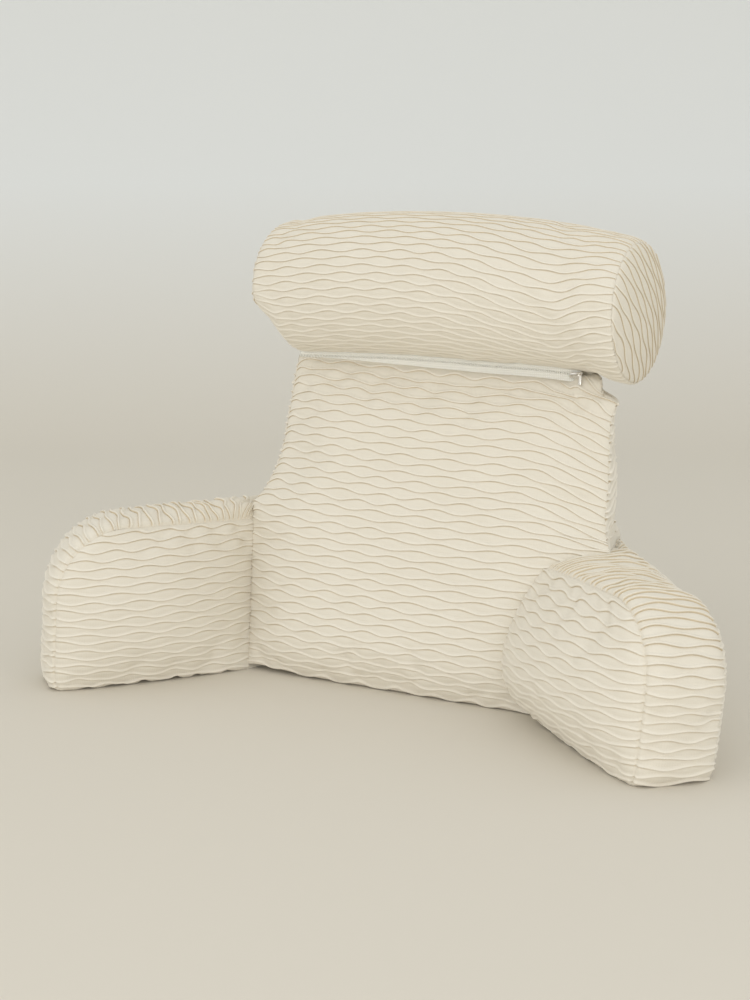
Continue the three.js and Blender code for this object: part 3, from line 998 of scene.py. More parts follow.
@dataclass
class BackCushion(Cushion):
    """The leaning back cushion, which flares out to meet the arms."""

    name: str = "back_cushion_cover"
    node: str = "back_cushion"
    fill: float = 0.8
    give: float = 6.0
    roll: NeckRoll = field(default_factory=NeckRoll)
    # Front and rear, which lean back
    lean: float = 0.329
    rear_base: float = 165.0
    rear_lean: float = 0.07
    top_rear: float = 322.0
    # Fullness of each panel
    crown: float = 20.0
    rear_crown: float = 14.0
    side_crown_left: float = 14.0
    side_crown_right: float = 3.5
    top_crown: float = 14.0
    bow: float = 9.0
    # Half widths, and how high above the arms they flare out
    half_left: float = 180.0
    half_right: float = 189.0
    rear_left: float = 143.0
    rear_right: float = 118.0
    flare_left: float = 22.0
    flare_right: float = 90.0
    flare_rear_right: float = 110.0
    # Sideways step of the upper part
    shift: float = 7.0
    shift_rise: float = 60.0
    # Top corners: the left one rises, the right one closes to the roll
    corner_rise: float = 7.0
    corner_rise_run: float = 190.0
    corner_close: float = 9.0
    corner_close_run: float = 10.0
    corner_close_from: float = 0.92
    # Ear below the top right corner
    ear: float = 13.5
    ear_low: float = 21.0
    ear_high: float = 12.5
    ear_tip: float = 4.5
    # Walls that the arms are sewn to
    wall_half: float = 172.0
    rise_left: float = 0.2345
    rise_right: float = 0.41
    wall_run: float = -0.2
    twist_right: float = 0.0007
    foot_right: float = 14.0
    wall_top: float = 171.0
    wall_rear_top: float = 165.0
    wall_arch: float = 8.0
    # Seam and ledge under the zip
    zip_y: float = 107.0
    zip_right: float = 161.0
    zip_below: float = 4.2
    zip_seat: float = 6.5
    zip_ledge: float = 3.0
    gap: float = 0.5
    # Foot, rolled under and caught up at the left
    tuck_under: float = 16.0
    tuck_high: float = 45.0
    corner_lift: float = 6.0
    corner_lift_run: float = 60.0
    # Front tucks, which hang at the right and are hooked at the left
    droop: float = 22.0
    droop_run: float = 75.0
    droop_curl: float = 1.5
    droop_below: float = 25.0
    droop_above: float = 35.0
    hook: float = 5.0
    hook_run: float = 12.0
    # Side tucks, which climb to the rear
    chevron: float = 9.0
    chevron_run: float = 0.6
    chevron_start: float = 0.3
    chevron_lift: float = 1.9
    chevron_foot: float = 0.18
    chevron_head: float = 0.2
    chevron_calm: float = 0.3
    arm_ease: float = 6.0

    def middle(self) -> Array:
        """A point inside the back."""
        return np.array([0.0, self.rear_base / 2, self.high() / 2])

    def zip_height(self, x: Array) -> Array:
        """Height of the zip's coil at x."""
        return self.roll.underside(x, self.zip_y) - self.zip_below

    def seat_height(self, x: Array) -> Array:
        """Height of the seam under the zip at x, which rises to the left."""
        risen = ease(self.shift - x, self.half_left - self.corner_rise_run, self.half_left)
        return self.zip_height(x) - self.zip_seat + self.corner_rise * risen

    def top_front(self, x: Array) -> Array:
        """Height of the top front edge at x: the seam under the zip, then up to the roll."""
        close = self.corner_close * ease(x, self.zip_right, self.zip_right + self.corner_close_run)
        return np.minimum(self.seat_height(x) + close, self.roll.lowest(x, self.zip_y) - 2 * self.gap)

    def high(self) -> float:
        """Height of the front panel at its middle."""
        return float(self.top_front(np.float64(0.0)))

    def front_half(self, side: Array) -> Array:
        """Half width of the front panel's upper part on one side."""
        return by_side(side, self.half_left, self.half_right)

    def wall_rise(self, side: Array) -> Array:
        """How far the wall on one side leans out for each millimetre of height."""
        return by_side(side, self.rise_left, self.rise_right)

    def wall_x(self, y: Array, z: Array, side: Array) -> Array:
        """Half width of the wall that an arm is sewn to."""
        twist = by_side(side, 0.0, self.twist_right)
        return self.wall_half + self.wall_rise(side) * z + self.wall_run * y - twist * z * y

    def flared(self, half: Array, y: Array, z: Array, top: Array, side: Array, flare: float) -> Array:
        """Half width of a panel that flares out to the arm below it.

        Args:
            half: Half width far above the arm.
            y: Depths.
            z: Heights.
            top: Height of the arm's seam.
            side: Negative on the left.
            flare: Height over which it flares on the right.

        Returns:
            Half widths.
        """
        spread = np.exp(-np.maximum(0.0, z - top) / by_side(side, self.flare_left, flare))
        return np.where(z > top, lerp(half, self.wall_x(y, top, side), spread), self.wall_x(y, z, side))

    def side_step(self, z: Array) -> Array:
        """How far the upper part sits to one side."""
        return self.shift * ease(z, self.wall_top, self.wall_top + self.shift_rise)

    def rear_y(self, z: Array) -> Array:
        """Depth of the rear face at a height."""
        return self.rear_base + self.rear_lean * z

    def front_edge(self, z: Array, side: Array) -> Array:
        """The side edge of the front panel.

        Args:
            z: Heights.
            side: Negative on the left.

        Returns:
            The points, with the half width as x.
        """
        y = self.lean * z
        top = self.wall_top - self.foot_drop(side)
        x = self.flared(self.front_half(side), y, z, top, side, self.flare_right)
        return vectors(x - by_side(side, 0.0, self.ear_in(z)), y, z)

    def ear_in(self, z: Array) -> Array:
        """How far the right edge is drawn in at its top, above the ear that the corner makes.

        Args:
            z: Heights.

        Returns:
            Distances inwards.
        """
        top = float(self.top_front(np.float64(self.half_right + self.shift)))
        tip = np.exp(-((z - top + self.ear_low) / (self.ear_low - self.ear_high)) ** 2)
        return self.ear * ease(z, top - self.ear_low, top - self.ear_high) - self.ear_tip * tip

    def rear_half(self, side: Array) -> Array:
        """Half width of the rear panel's upper part on one side."""
        return by_side(side, self.rear_left, self.rear_right)

    def rear_edge(self, z: Array, side: Array) -> Array:
        """The side edge of the rear panel.

        Args:
            z: Heights.
            side: Negative on the left.

        Returns:
            The points, with the half width as x.
        """
        y = self.rear_y(z)
        top = self.wall_rear_top - self.foot_drop(side)
        x = self.flared(self.rear_half(side), y, z, top, side, self.flare_rear_right)
        return vectors(x, y, z)

    def place_front(self, u: Array, v: Array) -> Array:
        """The front panel, rolled under at its foot and caught up at its left foot.

        Args:
            u: Places along the tucks.
            v: Places across them.

        Returns:
            The points.
        """
        across = 2 * inset(u, self.front_wide()) - 1
        up = v * (1 - PLEAT.margin / self.high())
        top_x = across * self.front_half(across) + self.shift
        seat = self.seat_height(top_x)
        z = up * seat + (self.top_front(top_x) - seat) * ease(up, self.corner_close_from, 1.0)
        from_left = (across + 1) * self.half_left / self.corner_lift_run
        lift = self.corner_lift * np.exp(-from_left ** 2) * near(z, self.tuck_high)
        x = across * self.front_edge(z, across)[..., 0] + self.side_step(z)
        return vectors(x, self.front_y(x, z), z + lift)

    def front_wide(self) -> float:
        """Width of the front panel."""
        return self.half_left + self.half_right

    def rear_wide(self) -> float:
        """Width of the rear panel."""
        return self.rear_left + self.rear_right

    def front_y(self, x: Array, z: Array) -> Array:
        """Depth of the filled front face at x and z.

        Args:
            x: Places across the front.
            z: Heights.

        Returns:
            Depths.
        """
        inward = x - self.side_step(z)
        edge = self.front_edge(z, inward)
        across = np.clip(inward / edge[..., 0], -1, 1)
        up = np.clip(z / self.high(), 0, 1)
        full = self.crown * STUFFING.dome(across, 2 * up - 1) + STUFFING.bowed(self.bow, across, up)
        under = self.tuck_under * near(z, self.tuck_high) * STUFFING.plump(across)
        return edge[..., 1] - full + under

    def place_rear(self, u: Array, v: Array) -> Array:
        """The rear panel.

        Args:
            u: Places along the tucks.
            v: Places across them.

        Returns:
            The points.
        """
        across = 2 * inset(u, self.rear_wide()) - 1
        up = v * (1 - PLEAT.margin / self.high())
        edge = self.rear_edge(up * self.top_rear, across)
        full = self.rear_crown * STUFFING.dome(across, 2 * up - 1)
        full = full + STUFFING.bowed(self.bow, across, up)
        under = self.tuck_under * near(edge[..., 2], self.tuck_high) * STUFFING.plump(across)
        y = edge[..., 1] + full - under
        return vectors(across * edge[..., 0] + self.side_step(edge[..., 2]), y, edge[..., 2])

    def top_start(self) -> float:
        """Depth at which the top panel starts, just behind the zip."""
        return self.zip_y + self.zip_ledge

    def place_top(self, u: Array, v: Array) -> Array:
        """The narrow top panel, pressed down by the roll.

        Args:
            u: Places along the tucks.
            v: Places across them.

        Returns:
            The points.
        """
        rear = self.rear_y(self.high())
        deep = inset(v, rear - self.top_start())
        across = 2 * inset(u, self.front_wide()) - 1
        ear = by_side(across, 0.0, self.ear)
        x = across * lerp(self.front_half(across) - ear, self.rear_half(across), deep) + self.shift
        y = lerp(self.top_start(), rear, deep)
        full = self.top_crown * STUFFING.plump(across) * (1 - (2 * deep - 1) ** 2)
        z = lerp(self.top_front(x), self.top_rear, deep) + full
        return vectors(x, y, np.minimum(z, self.roll.lowest(x, y) - 2 * self.gap))

    def foot_drop(self, side: Array) -> Array:
        """How much lower a side panel starts on one side."""
        return by_side(side, 0.0, self.foot_right)

    def side_deep(self) -> float:
        """Depth of a side panel at its foot."""
        return float(self.rear_y(self.wall_top) - self.lean * self.wall_top)

    def place_side(self, side: int) -> Place:
        """One of the two side panels above the arms.

        Args:
            side: -1 for the left, 1 for the right.

        Returns:
            The function that places it.
        """
        def place(u: Array, v: Array) -> Array:
            """The side panel's points."""
            deep = inset(u, self.side_deep())
            foot = lerp(self.wall_top, self.wall_rear_top, deep)
            foot = foot + self.wall_arch * np.sin(math.pi * deep) - self.foot_drop(side)
            head = lerp(self.top_front(side * self.front_half(side) + self.shift), self.top_rear, deep)
            z = lerp(foot, head, inset(v, self.high() - self.wall_top))
            point = lerp(self.front_edge(z, side), self.rear_edge(z, side), deep[..., None])
            crown = self.side_crown_left if side < 0 else self.side_crown_right
            full = crown * STUFFING.dome(2 * deep - 1, 2 * v - 1) * np.sqrt(v)
            x = side * (point[..., 0] + full) + self.side_step(z)
            return vectors(x, point[..., 1], z)

        return place

    def droop_bend(self, u: Array, v: float) -> Array:
        """How far a tuck of the front panel hangs above the arms, and is hooked at the left.

        Args:
            u: Places along the tucks.
            v: Place of the tuck.

        Returns:
            Distances across the tucks.
        """
        from_left = u * self.front_wide()
        from_right = self.front_wide() - from_left
        pulled = self.droop * np.clip(1 - from_right / self.droop_run, 0, 1) ** self.droop_curl
        hooked = self.hook * near(from_left, self.hook_run)
        low, high = self.wall_top - self.droop_below, self.wall_top + self.droop_above
        return -(pulled + hooked) * ease(v * self.high(), low, high)

    def above_arm(self, u: Array, v: Array) -> Array:
        """How much of a side seam is free, which is none of it where an arm is sewn on."""
        low, high = self.wall_top - self.arm_ease, self.wall_top + self.arm_ease
        return ease(v * self.high() + 0 * u, low, high)

    def chevron_bend(self, u: Array, v: float) -> Array:
        """How far a tuck of a side panel climbs towards the rear."""
        return self.chevron * np.clip(u / self.chevron_run, 0, 1) * ease(v, 0.0, self.chevron_start)

    def above_foot(self, u: Array, v: Array) -> Array:
        """How high the tucks of a side panel stand: lower towards the arm and the top corner."""
        free = ease(v + 0 * u, 0.0, self.chevron_foot) * ease(1 - v, 0.0, self.chevron_head)
        return self.chevron_lift * lerp(self.chevron_calm, 1.0, free)

    def panels(self) -> list[Panel]:
        """Front, rear, top and the two side panels.

        Returns:
            The panels.
        """
        high = self.high()
        side_high = high - self.wall_top
        climb = Run(seed=24, bend=self.chevron_bend, caught=0.2, calm=self.above_foot)
        hang = Run(seed=21, bend=self.droop_bend, spare=4, side_dip=self.above_arm)
        top_deep = self.rear_y(high) - self.top_start()
        return [
            Panel("front", self.place_front, self.front_wide(), high, hang),
            Panel("rear", self.place_rear, self.rear_wide(), high, Run(seed=22)),
            Panel("top", self.place_top, self.front_wide(), top_deep, Run(seed=23, lift=0.2)),
            Panel("side_left", self.place_side(-1), self.side_deep(), side_high, climb),
            Panel("side_right", self.place_side(1), self.side_deep(), side_high, climb),
        ]

    def sew(self, cover: Cover, edges: dict[str, Edges]) -> None:
        """Sews the panels together, with flat walls behind the arms and a flat base.

        Args:
            cover: The cover that is sewn.
            edges: Edges of each panel, by its name.
        """
        front, rear, top = edges["front"], edges["rear"], edges["top"]
        cover.sew(front.end, top.start)
        cover.sew(rear.end, top.end)
        sides = (
            (edges["side_left"], front.left, rear.left, top.left, float(self.foot_drop(-1))),
            (edges["side_right"], front.right, rear.right, top.right, float(self.foot_drop(1))),
        )
        for side, front_edge, rear_edge, top_edge, drop in sides:
            front_below, front_above = cover.split(front_edge, self.wall_top - drop)
            rear_below, rear_above = cover.split(rear_edge, self.wall_rear_top - drop)
            cover.sew(side.left, front_above)
            cover.sew(side.right, rear_above)
            cover.sew(side.end, top_edge)
            cover.sew(front_below, rear_below, flat=True)
        cover.sew(front.start, rear.start, flat=True)


# Waves along an arm's lower edge: their share, their radians along it, and how often the seed counts
RUFFLES = ((1.0, 41, 1), (0.7, 67, 2), (0.3, 113, 0))


@dataclass
class Arm(Cushion):
    """An arm: a slab with a round front corner, fullest on its inner side and pressed onto the back."""

    name: str
    node: str
    fill: float = 0.85
    give: float = 1.8
    # Direction and size
    side: int = 1
    splay: float = 47.0
    length: float = 219.0
    crown: float = 44.0
    # Root, pressed over the front of the back
    press: float = 0.0
    press_high: float = 30.0
    press_ease: float = 0.2
    # Outer top edge and outer panel
    rear_drop: float = 5.0
    outer_drop: float = 0.0
    outer_drop_keep: float = 0.25
    outer_drop_end: float = 0.65
    outer_crown: float = 16.0
    # Gusset along the top, fanned together at the root
    top_run: float = 180.0
    fan: float = 2.0
    fan_start: float = 0.45
    seed: int = 31
    back: BackCushion = field(default_factory=BackCushion)
    height: float = 165.0
    front_lean: float = 0.0
    mitre: float = 0.0
    width: float = 74.0
    round: float = 72.0
    # Top seam, lower at the root
    root_drop: float = 12.0
    drop_start: float = 0.2
    # Fullness of the gusset, and of the panels' feet
    front_crown: float = 7.0
    top_crown: float = 9.0
    root_crown: float = 15.0
    root_steep: float = 0.75
    seam_steep: float = 0.8
    outer_steep: float = 0.5
    bow: float = 6.0
    gap: float = 0.05
    corner_share: float = 0.3
    # Toe and ruffled lower edge
    toe: float = 7.0
    toe_high: float = 18.0
    ruffle: float = 2.4
    ruffle_high: float = 12.0
    ruffle_even: float = 0.4
    ruffle_most: float = 1.4
    # Where the seams come free of the back
    side_free: tuple[float, float] = (0.4, 0.6)
    end_free: tuple[float, float] = (0.8, 0.95)

    def __post_init__(self) -> None:
        """Works out the arm's directions and corners."""
        splay = math.radians(self.splay)
        self.along = np.array([math.sin(splay), -math.cos(splay), 0.0])
        self.outward = np.array([math.cos(splay), math.sin(splay), 0.0])
        self.root = np.array([self.back.wall_half + self.gap, 0.0, 0.0])
        self.bend = self.root + self.outward * self.width
        self.front_outer = self.bend + self.along * (self.length - self.mitre)
        self.straight = self.height - self.round
        self.round_long = self.round * math.pi / 2

    def mirrored(self, points: Array) -> Array:
        """Turns points of a right arm into points of this arm."""
        return points * np.array([self.side, 1.0, 1.0])

    def middle(self) -> Array:
        """A point inside the arm."""
        point = self.root + self.along * self.length / 2 + self.outward * self.width / 2
        return self.mirrored(point + np.array([0.0, 0.0, self.height / 2]))

    def wall_x(self, y: Array, z: Array) -> Array:
        """Half width of the back's wall on this arm's side."""
        return self.back.wall_x(y, z, self.side)

    def front_y(self, x: Array, z: Array) -> Array:
        """Depth of the back's front face on this arm's side."""
        return self.back.front_y(self.side * x, z)

    def reach(self, z: Array) -> Array:
        """How far forward the arm reaches at a height: straight up, then round.

        Args:
            z: Heights.

        Returns:
            Places along the arm.
        """
        up = np.maximum(0.0, z - self.straight)
        bent = np.sqrt(np.maximum(0.0, self.round ** 2 - up ** 2))
        return self.length - self.round + bent - self.toe_back(z)

    def toe_back(self, z: Array) -> Array:
        """How far the round toe draws back from the arm's front, close to the ground."""
        return self.toe * near(z, self.toe_high)

    def seam_high(self, s: Array) -> Array:
        """Height of the inner top seam as a share of the arm's: lower at the root."""
        return 1 - self.root_drop / self.height * near(s, self.length)

    def inner_at(self, s: Array, z: Array) -> Array:
        """The inner face before it is filled: leaning at its root and upright at its front.

        Args:
            s: Places along the arm.
            z: Heights.

        Returns:
            The points.
        """
        lean = (1 - s / self.length) ** 2 * z
        root_x = self.wall_x(self.back.lean * z, z) - self.back.wall_half
        sway = root_x * (1 - s / self.length) ** 2 + self.front_lean * z * s / self.length
        shift = vectors(sway, self.back.lean * lean, z)
        return self.root + self.along * np.asarray(s)[..., None] + shift

    def pressed(self, z: Array) -> Array:
        """How far the root is pressed sideways over the front of the back, at a height."""
        grown = 1 - np.exp(-z / self.press_high)
        return self.press * grown * (1 - self.press_ease * (z / self.height) ** 4)

    def root_shift(self, s: Array, z: Array) -> Array:
        """How far the pressed root moves the inner face at s.

        Args:
            s: Places along the arm.
            z: Heights.

        Returns:
            Shifts of the points.
        """
        corner = self.inner_at(0 * z, z)
        x = corner[..., 0] - self.pressed(z)
        y = self.front_y(x, z) - self.gap
        keep = np.where(self.pressed(z) > 0, 1.0, 0.0) * near(s, self.length)
        return vectors(keep * (x - corner[..., 0]), keep * (y - corner[..., 1]), 0 * z)

    def outer_at(self, t: Array, z: Array) -> tuple[Array, Array]:
        """The outer face before it is filled, from the front (t 0) to the rear corner (t 1).

        Args:
            t: Shares of the way.
            z: Heights.

        Returns:
            The points and the directions outwards.
        """
        rear = self.back.rear_y(z)
        corner = vectors(self.wall_x(rear, z) + self.gap, rear, z)
        start = self.front_outer + vectors(self.front_lean * z, 0 * z, z)
        bend = self.bend + vectors(self.front_lean * z, 0 * z, z)
        t = np.asarray(t)[..., None]
        point = (1 - t) ** 2 * start + 2 * t * (1 - t) * bend + t ** 2 * corner
        tangent = (1 - t) * (bend - start) + t * (corner - bend)
        tangent = tangent / np.linalg.norm(tangent, axis=-1, keepdims=True)
        normal = vectors(tangent[..., 1], -tangent[..., 0], 0 * tangent[..., 0])
        return point, normal

    def outer_share(self, s: Array) -> Array:
        """Place along the outer face that lies across from s on the inner one."""
        return (self.length - s) / (2 * self.length)

    def outer_top(self, share: Array) -> Array:
        """Height of the outer top edge, level at the front and lower at the rear."""
        front = self.outer_drop * (1 - ease(share, self.outer_drop_keep, self.outer_drop_end))
        return self.height - lerp(front, self.rear_drop, ease(share, self.drop_start, 1.0))

    def hem(self, u: Array, z: Array) -> Array:
        """The ruffled lower edge: how far it is lifted off the ground.

        Args:
            u: Places along the tucks.
            z: Heights.

        Returns:
            Distances up.
        """
        wave = sum(share * np.sin(u * turns + times * self.seed) for share, turns, times in RUFFLES)
        lifted = self.ruffle * np.clip(wave / 2 + self.ruffle_even, 0, self.ruffle_most)
        return lifted * near(z, self.ruffle_high) * STUFFING.plump(2 * u - 1)

    def place_inner(self, u: Array, v: Array) -> Array:
        """The inner panel, which bulges into the seat.

        Args:
            u: Places along the tucks.
            v: Places across them.

        Returns:
            The points.
        """
        level = v * (self.height - PLEAT.margin)
        s = inset(u, self.length) * self.reach(level)
        z = level * self.seam_high(s)
        full = self.crown * STUFFING.barrel(2 * u - 1, 2 * v - 1, self.root_steep)
        full = full + STUFFING.bowed(self.bow, 2 * u - 1, v)
        point = self.inner_at(s, z) + self.root_shift(s, z) - self.outward * full[..., None]
        return self.mirrored(point + vectors(0 * z, 0 * z, self.hem(u, z)))

    def outer_long(self) -> float:
        """Length of the outer panel."""
        return self.length + self.width

    def place_outer(self, u: Array, v: Array) -> Array:
        """The outer panel, which sweeps from the arm's front back to the rear corner.

        Args:
            u: Places along the tucks.
            v: Places across them.

        Returns:
            The points.
        """
        upright = v * (self.height - PLEAT.margin)
        share = lerp(1.0, self.outer_share(self.reach(upright)), inset(u, self.outer_long()))
        point, normal = self.outer_at(share, upright * self.outer_top(share) / self.height)
        full = self.outer_crown * STUFFING.dome(2 * u - 1, 2 * v - 1)
        full = full + STUFFING.bowed(self.bow, 2 * u - 1, v)
        return self.mirrored(point + normal * full[..., None])

    def gusset_long(self) -> float:
        """Length of the gusset up the front, round the corner and along the top."""
        return self.straight + self.round_long + self.top_run

    def place_gusset(self, u: Array, v: Array) -> Array:
        """The gusset, whose tucks run across it and fan together at the arm's root.

        Args:
            u: Places along the tucks.
            v: Places across them.

        Returns:
            The points.
        """
        distance = v * self.gusset_long()
        angle = np.clip((distance - self.straight) / self.round, 0, math.pi / 2)
        top = np.clip((distance - self.straight - self.round_long) / self.top_run, 0, 1)
        bent = self.length - self.round * (1 - np.cos(angle)) - self.toe_back(distance)
        s = np.where(top > 0, (self.length - self.round) * (1 - top) ** self.fan, bent)
        level = np.where(distance < self.straight, distance, self.straight + self.round * np.sin(angle))
        share = lerp(self.outer_share(s), 1.0, ease(top, self.fan_start, 1.0))
        across = inset(u, self.width)
        outer, _ = self.outer_at(share, level * self.outer_top(share) / self.height)
        z = level * self.seam_high(s)
        point = lerp(self.inner_at(s, z), outer, across[..., None])
        crown = lerp(self.front_crown, self.top_crown, angle / (math.pi / 2))
        steep = np.where(across < 0.5, self.seam_steep, self.outer_steep)
        full = lerp(crown, self.root_crown, top) * STUFFING.plump(2 * across - 1) ** steep
        away = np.cos(angle)[..., None] * self.along + vectors(0 * angle, 0 * angle, np.sin(angle))
        point = point + away * full[..., None]
        wall = self.wall_x(point[..., 1], point[..., 2]) + self.gap
        point[..., 0] = np.maximum(point[..., 0], wall)
        point = point + self.root_shift(s, z) * (1 - across[..., None]) ** 3
        return self.mirrored(self.clear_of_back(point))

    def clear_of_back(self, point: Array) -> Array:
        """Moves points that lie inside the back out of it, the shorter way.

        Args:
            point: Points of a right arm.

        Returns:
            The points, clear of the back.
        """
        x, y, z = point[..., 0], point[..., 1], point[..., 2]
        aside = self.wall_x(y, z) + self.gap - x
        ahead = y - (self.front_y(x, z) - self.gap)
        inside = (aside > 0) & (ahead > 0)
        sideways = inside & (aside <= ahead)
        clear_y = np.where(inside & ~sideways, y - ahead, y)
        return vectors(np.where(sideways, x + aside, x), clear_y, z)

    def place_root(self, u: Array, v: Array) -> Array:
        """The hidden root: along the front of the back to its corner, then along its wall.

        Args:
            u: Places along the tucks.
            v: Places across them.

        Returns:
            The points.
        """
        z = v * (self.height - PLEAT.margin) * self.seam_high(0 * v)
        corner = self.inner_at(0 * z, z)
        last = 1 + 0 * z
        rear, _ = self.outer_at(last, v * (1 - PLEAT.margin / self.height) * self.outer_top(last))
        first = np.clip(u / self.corner_share, 0, 1)
        second = np.clip((u - self.corner_share) / (1 - self.corner_share), 0, 1)
        x = corner[..., 0] - self.pressed(z) * (1 - first)
        y = np.where(self.pressed(z) * (1 - first) > 0, self.front_y(x, z) - self.gap, corner[..., 1])
        second = second[..., None]
        return self.mirrored(np.where(second > 0, lerp(corner, rear, second), vectors(x, y, z)))

    def free_side(self, u: Array, v: Array) -> Array:
        """Share of the dip at the inner panel's sides: none where it is sewn to the back."""
        return ease(u + 0 * v, *self.side_free)

    def free_end(self, u: Array, v: Array) -> Array:
        """Share of the dip at the gusset's ends: none where it is sewn to the back."""
        return 1 - ease(v + 0 * u, *self.end_free)

    def panels(self) -> list[Panel]:
        """The inner panel, the outer panel, the gusset and the root.

        Returns:
            The panels.
        """
        seed = self.seed
        inner = Run(seed=seed, side_dip=self.free_side)
        gusset = Run(seed=seed + 2, lift=1.5, caught=0.55, end_dip=self.free_end)
        return [
            Panel("inner", self.place_inner, self.length, self.height, inner),
            Panel("outer", self.place_outer, self.outer_long(), self.height, Run(seed=seed + 1)),
            Panel("gusset", self.place_gusset, self.width, self.gusset_long(), gusset),
            Panel("root", self.place_root, self.width + self.press, self.height, smooth=True),
        ]

    def sew(self, cover: Cover, edges: dict[str, Edges]) -> None:
        """Sews the gusset between the two faces and closes the root and the base.

        Args:
            cover: The cover that is sewn.
            edges: Edges of each panel, by its name.
        """
        inner, outer, gusset, root = (edges[name] for name in ("inner", "outer", "gusset", "root"))
        cover.sew(gusset.left, inner.right + inner.end[::-1][1:])
        cover.sew(gusset.right, outer.right + outer.end[::-1][1:])
        cover.sew(inner.left, root.left, flat=True)
        cover.sew(root.right, outer.left, flat=True)
        cover.sew(gusset.end, root.end, flat=True)
        cover.sew(inner.start, outer.start, flat=True)


def bare(points: Array) -> Grid:
    """A grid without a place on the cloth and without shade."""
    return Grid(points, np.zeros((*points.shape[:2], 2)), np.zeros(points.shape[:2]))


def tube(path: Array, radius: Array, up: tuple[float, float, float], sides: int = 8) -> Grid:
    """A round wire along a path.

    Args:
        path: Points along its middle, in mm.
        radius: Its radius at each point.
        up: A direction that the path never runs along.
        sides: Corners of its section.

    Returns:
        The grid, closed round and open at its two ends.
    """
    along = np.gradient(path, axis=0)
    first = np.cross(along, up)
    first /= np.linalg.norm(first, axis=1, keepdims=True)
    second = np.cross(along, first)
    second /= np.linalg.norm(second, axis=1, keepdims=True)
    turn = np.linspace(0, 2 * math.pi, sides + 1)[None, :, None]
    spoke = np.cos(turn) * first[:, None] + np.sin(turn) * second[:, None]
    points = path[:, None] + np.asarray(radius)[:, None, None] * spoke
    return bare(points)


def rounded(corners: tuple[tuple[float, float], ...], cuts: int = 2) -> Array:
    """Rounds an outline by cutting its corners off, again and again.

    Args:
        corners: The outline.
        cuts: How often it is cut.

    Returns:
        The rounded outline.
    """
    points = np.array(corners)
    for _ in range(cuts):
        ahead = np.roll(points, -1, axis=0)
        kept = [lerp(points, ahead, 0.25), lerp(points, ahead, 0.75)]
        points = np.stack(kept, axis=1).reshape(-1, 2)
    return points


def slab(outline: Array, front: float, rear: float, edge: float) -> Grid:
    """A flat plate with rounded edges.

    Args:
        outline: Its outline as x and z.
        front: The y of its front face.
        rear: The y of its rear face.
        edge: How far its edges are rounded.

    Returns:
        The grid, closed round and open at its two faces.
    """
    loop = np.vstack([outline, outline[:1]])
    spoke = loop - outline.mean(axis=0)
    size = np.linalg.norm(spoke, axis=1, keepdims=True)
    profile = ((front, 1.0), (front + 0.3 * edge, 0.3), (front + edge, 0.0),
               (rear - edge, 0.0), (rear - 0.3 * edge, 0.3), (rear, 1.0))
    rings = []
    for y, share in profile:
        ring = loop - spoke / size * (edge * share)
        rings.append(vectors(ring[:, 0], y, ring[:, 1]))
    points = np.array(rings)
    return bare(points)


class Tape(Enum):
    """The two tapes of the zip: the lower one is sewn to the back, the upper one to the roll."""

    LOWER = -1
    UPPER = 1


# Along a stitch: share of its length, how far it sinks into the tape and how its thread thins
STITCH = ((0.12, 1.2, 0.6), (0.25, 0.3, 1.0), (0.5, 0.0, 1.0), (0.75, 0.3, 1.0), (0.88, 1.2, 0.6))
# Along a loop of the coil: share of its reach and how its wire thins
LOOP = ((0.0, 0.5), (0.12, 0.9), (0.35, 1.0), (0.65, 1.0), (0.88, 0.9), (1.0, 0.5))
# Outlines of the slider's parts from its middle, along the zip and up, in mm
PLATE = ((-6.6, -2.3), (-6.6, 2.3), (-3.2, 2.7), (1.2, 3.4), (6.4, 3.4), (6.4, 1.5), (4.8, 0.0),
         (6.4, -1.5), (6.4, -3.4), (1.2, -3.4), (-3.2, -2.7))
FLANGE = ((-6.0, 1.6), (-6.0, 2.4), (-3.0, 2.7), (1.8, 3.3), (1.8, 2.3), (-3.0, 1.8))
POST = ((2.6, -0.9), (2.6, 0.9), (5.0, 0.5), (5.0, -0.5))
# The bridge's wire, along the zip and in depth from the slider's front
BRIDGE = ((-4.2, 0.8), (-4.0, -1.0), (-2.6, -2.6), (0.8, -3.4), (4.6, -4.0), (7.0, -4.2), (8.2, -3.4),
          (8.0, -2.0), (6.6, -0.6), (5.2, 0.8))
# Outline of the pull's bar below its eye
BAR = ((-1.0, -0.9), (1.0, -0.9), (1.25, -3.0), (1.6, -11.0), (0.9, -12.4), (-0.9, -12.4), (-1.6, -11.0),
       (-1.25, -3.0))


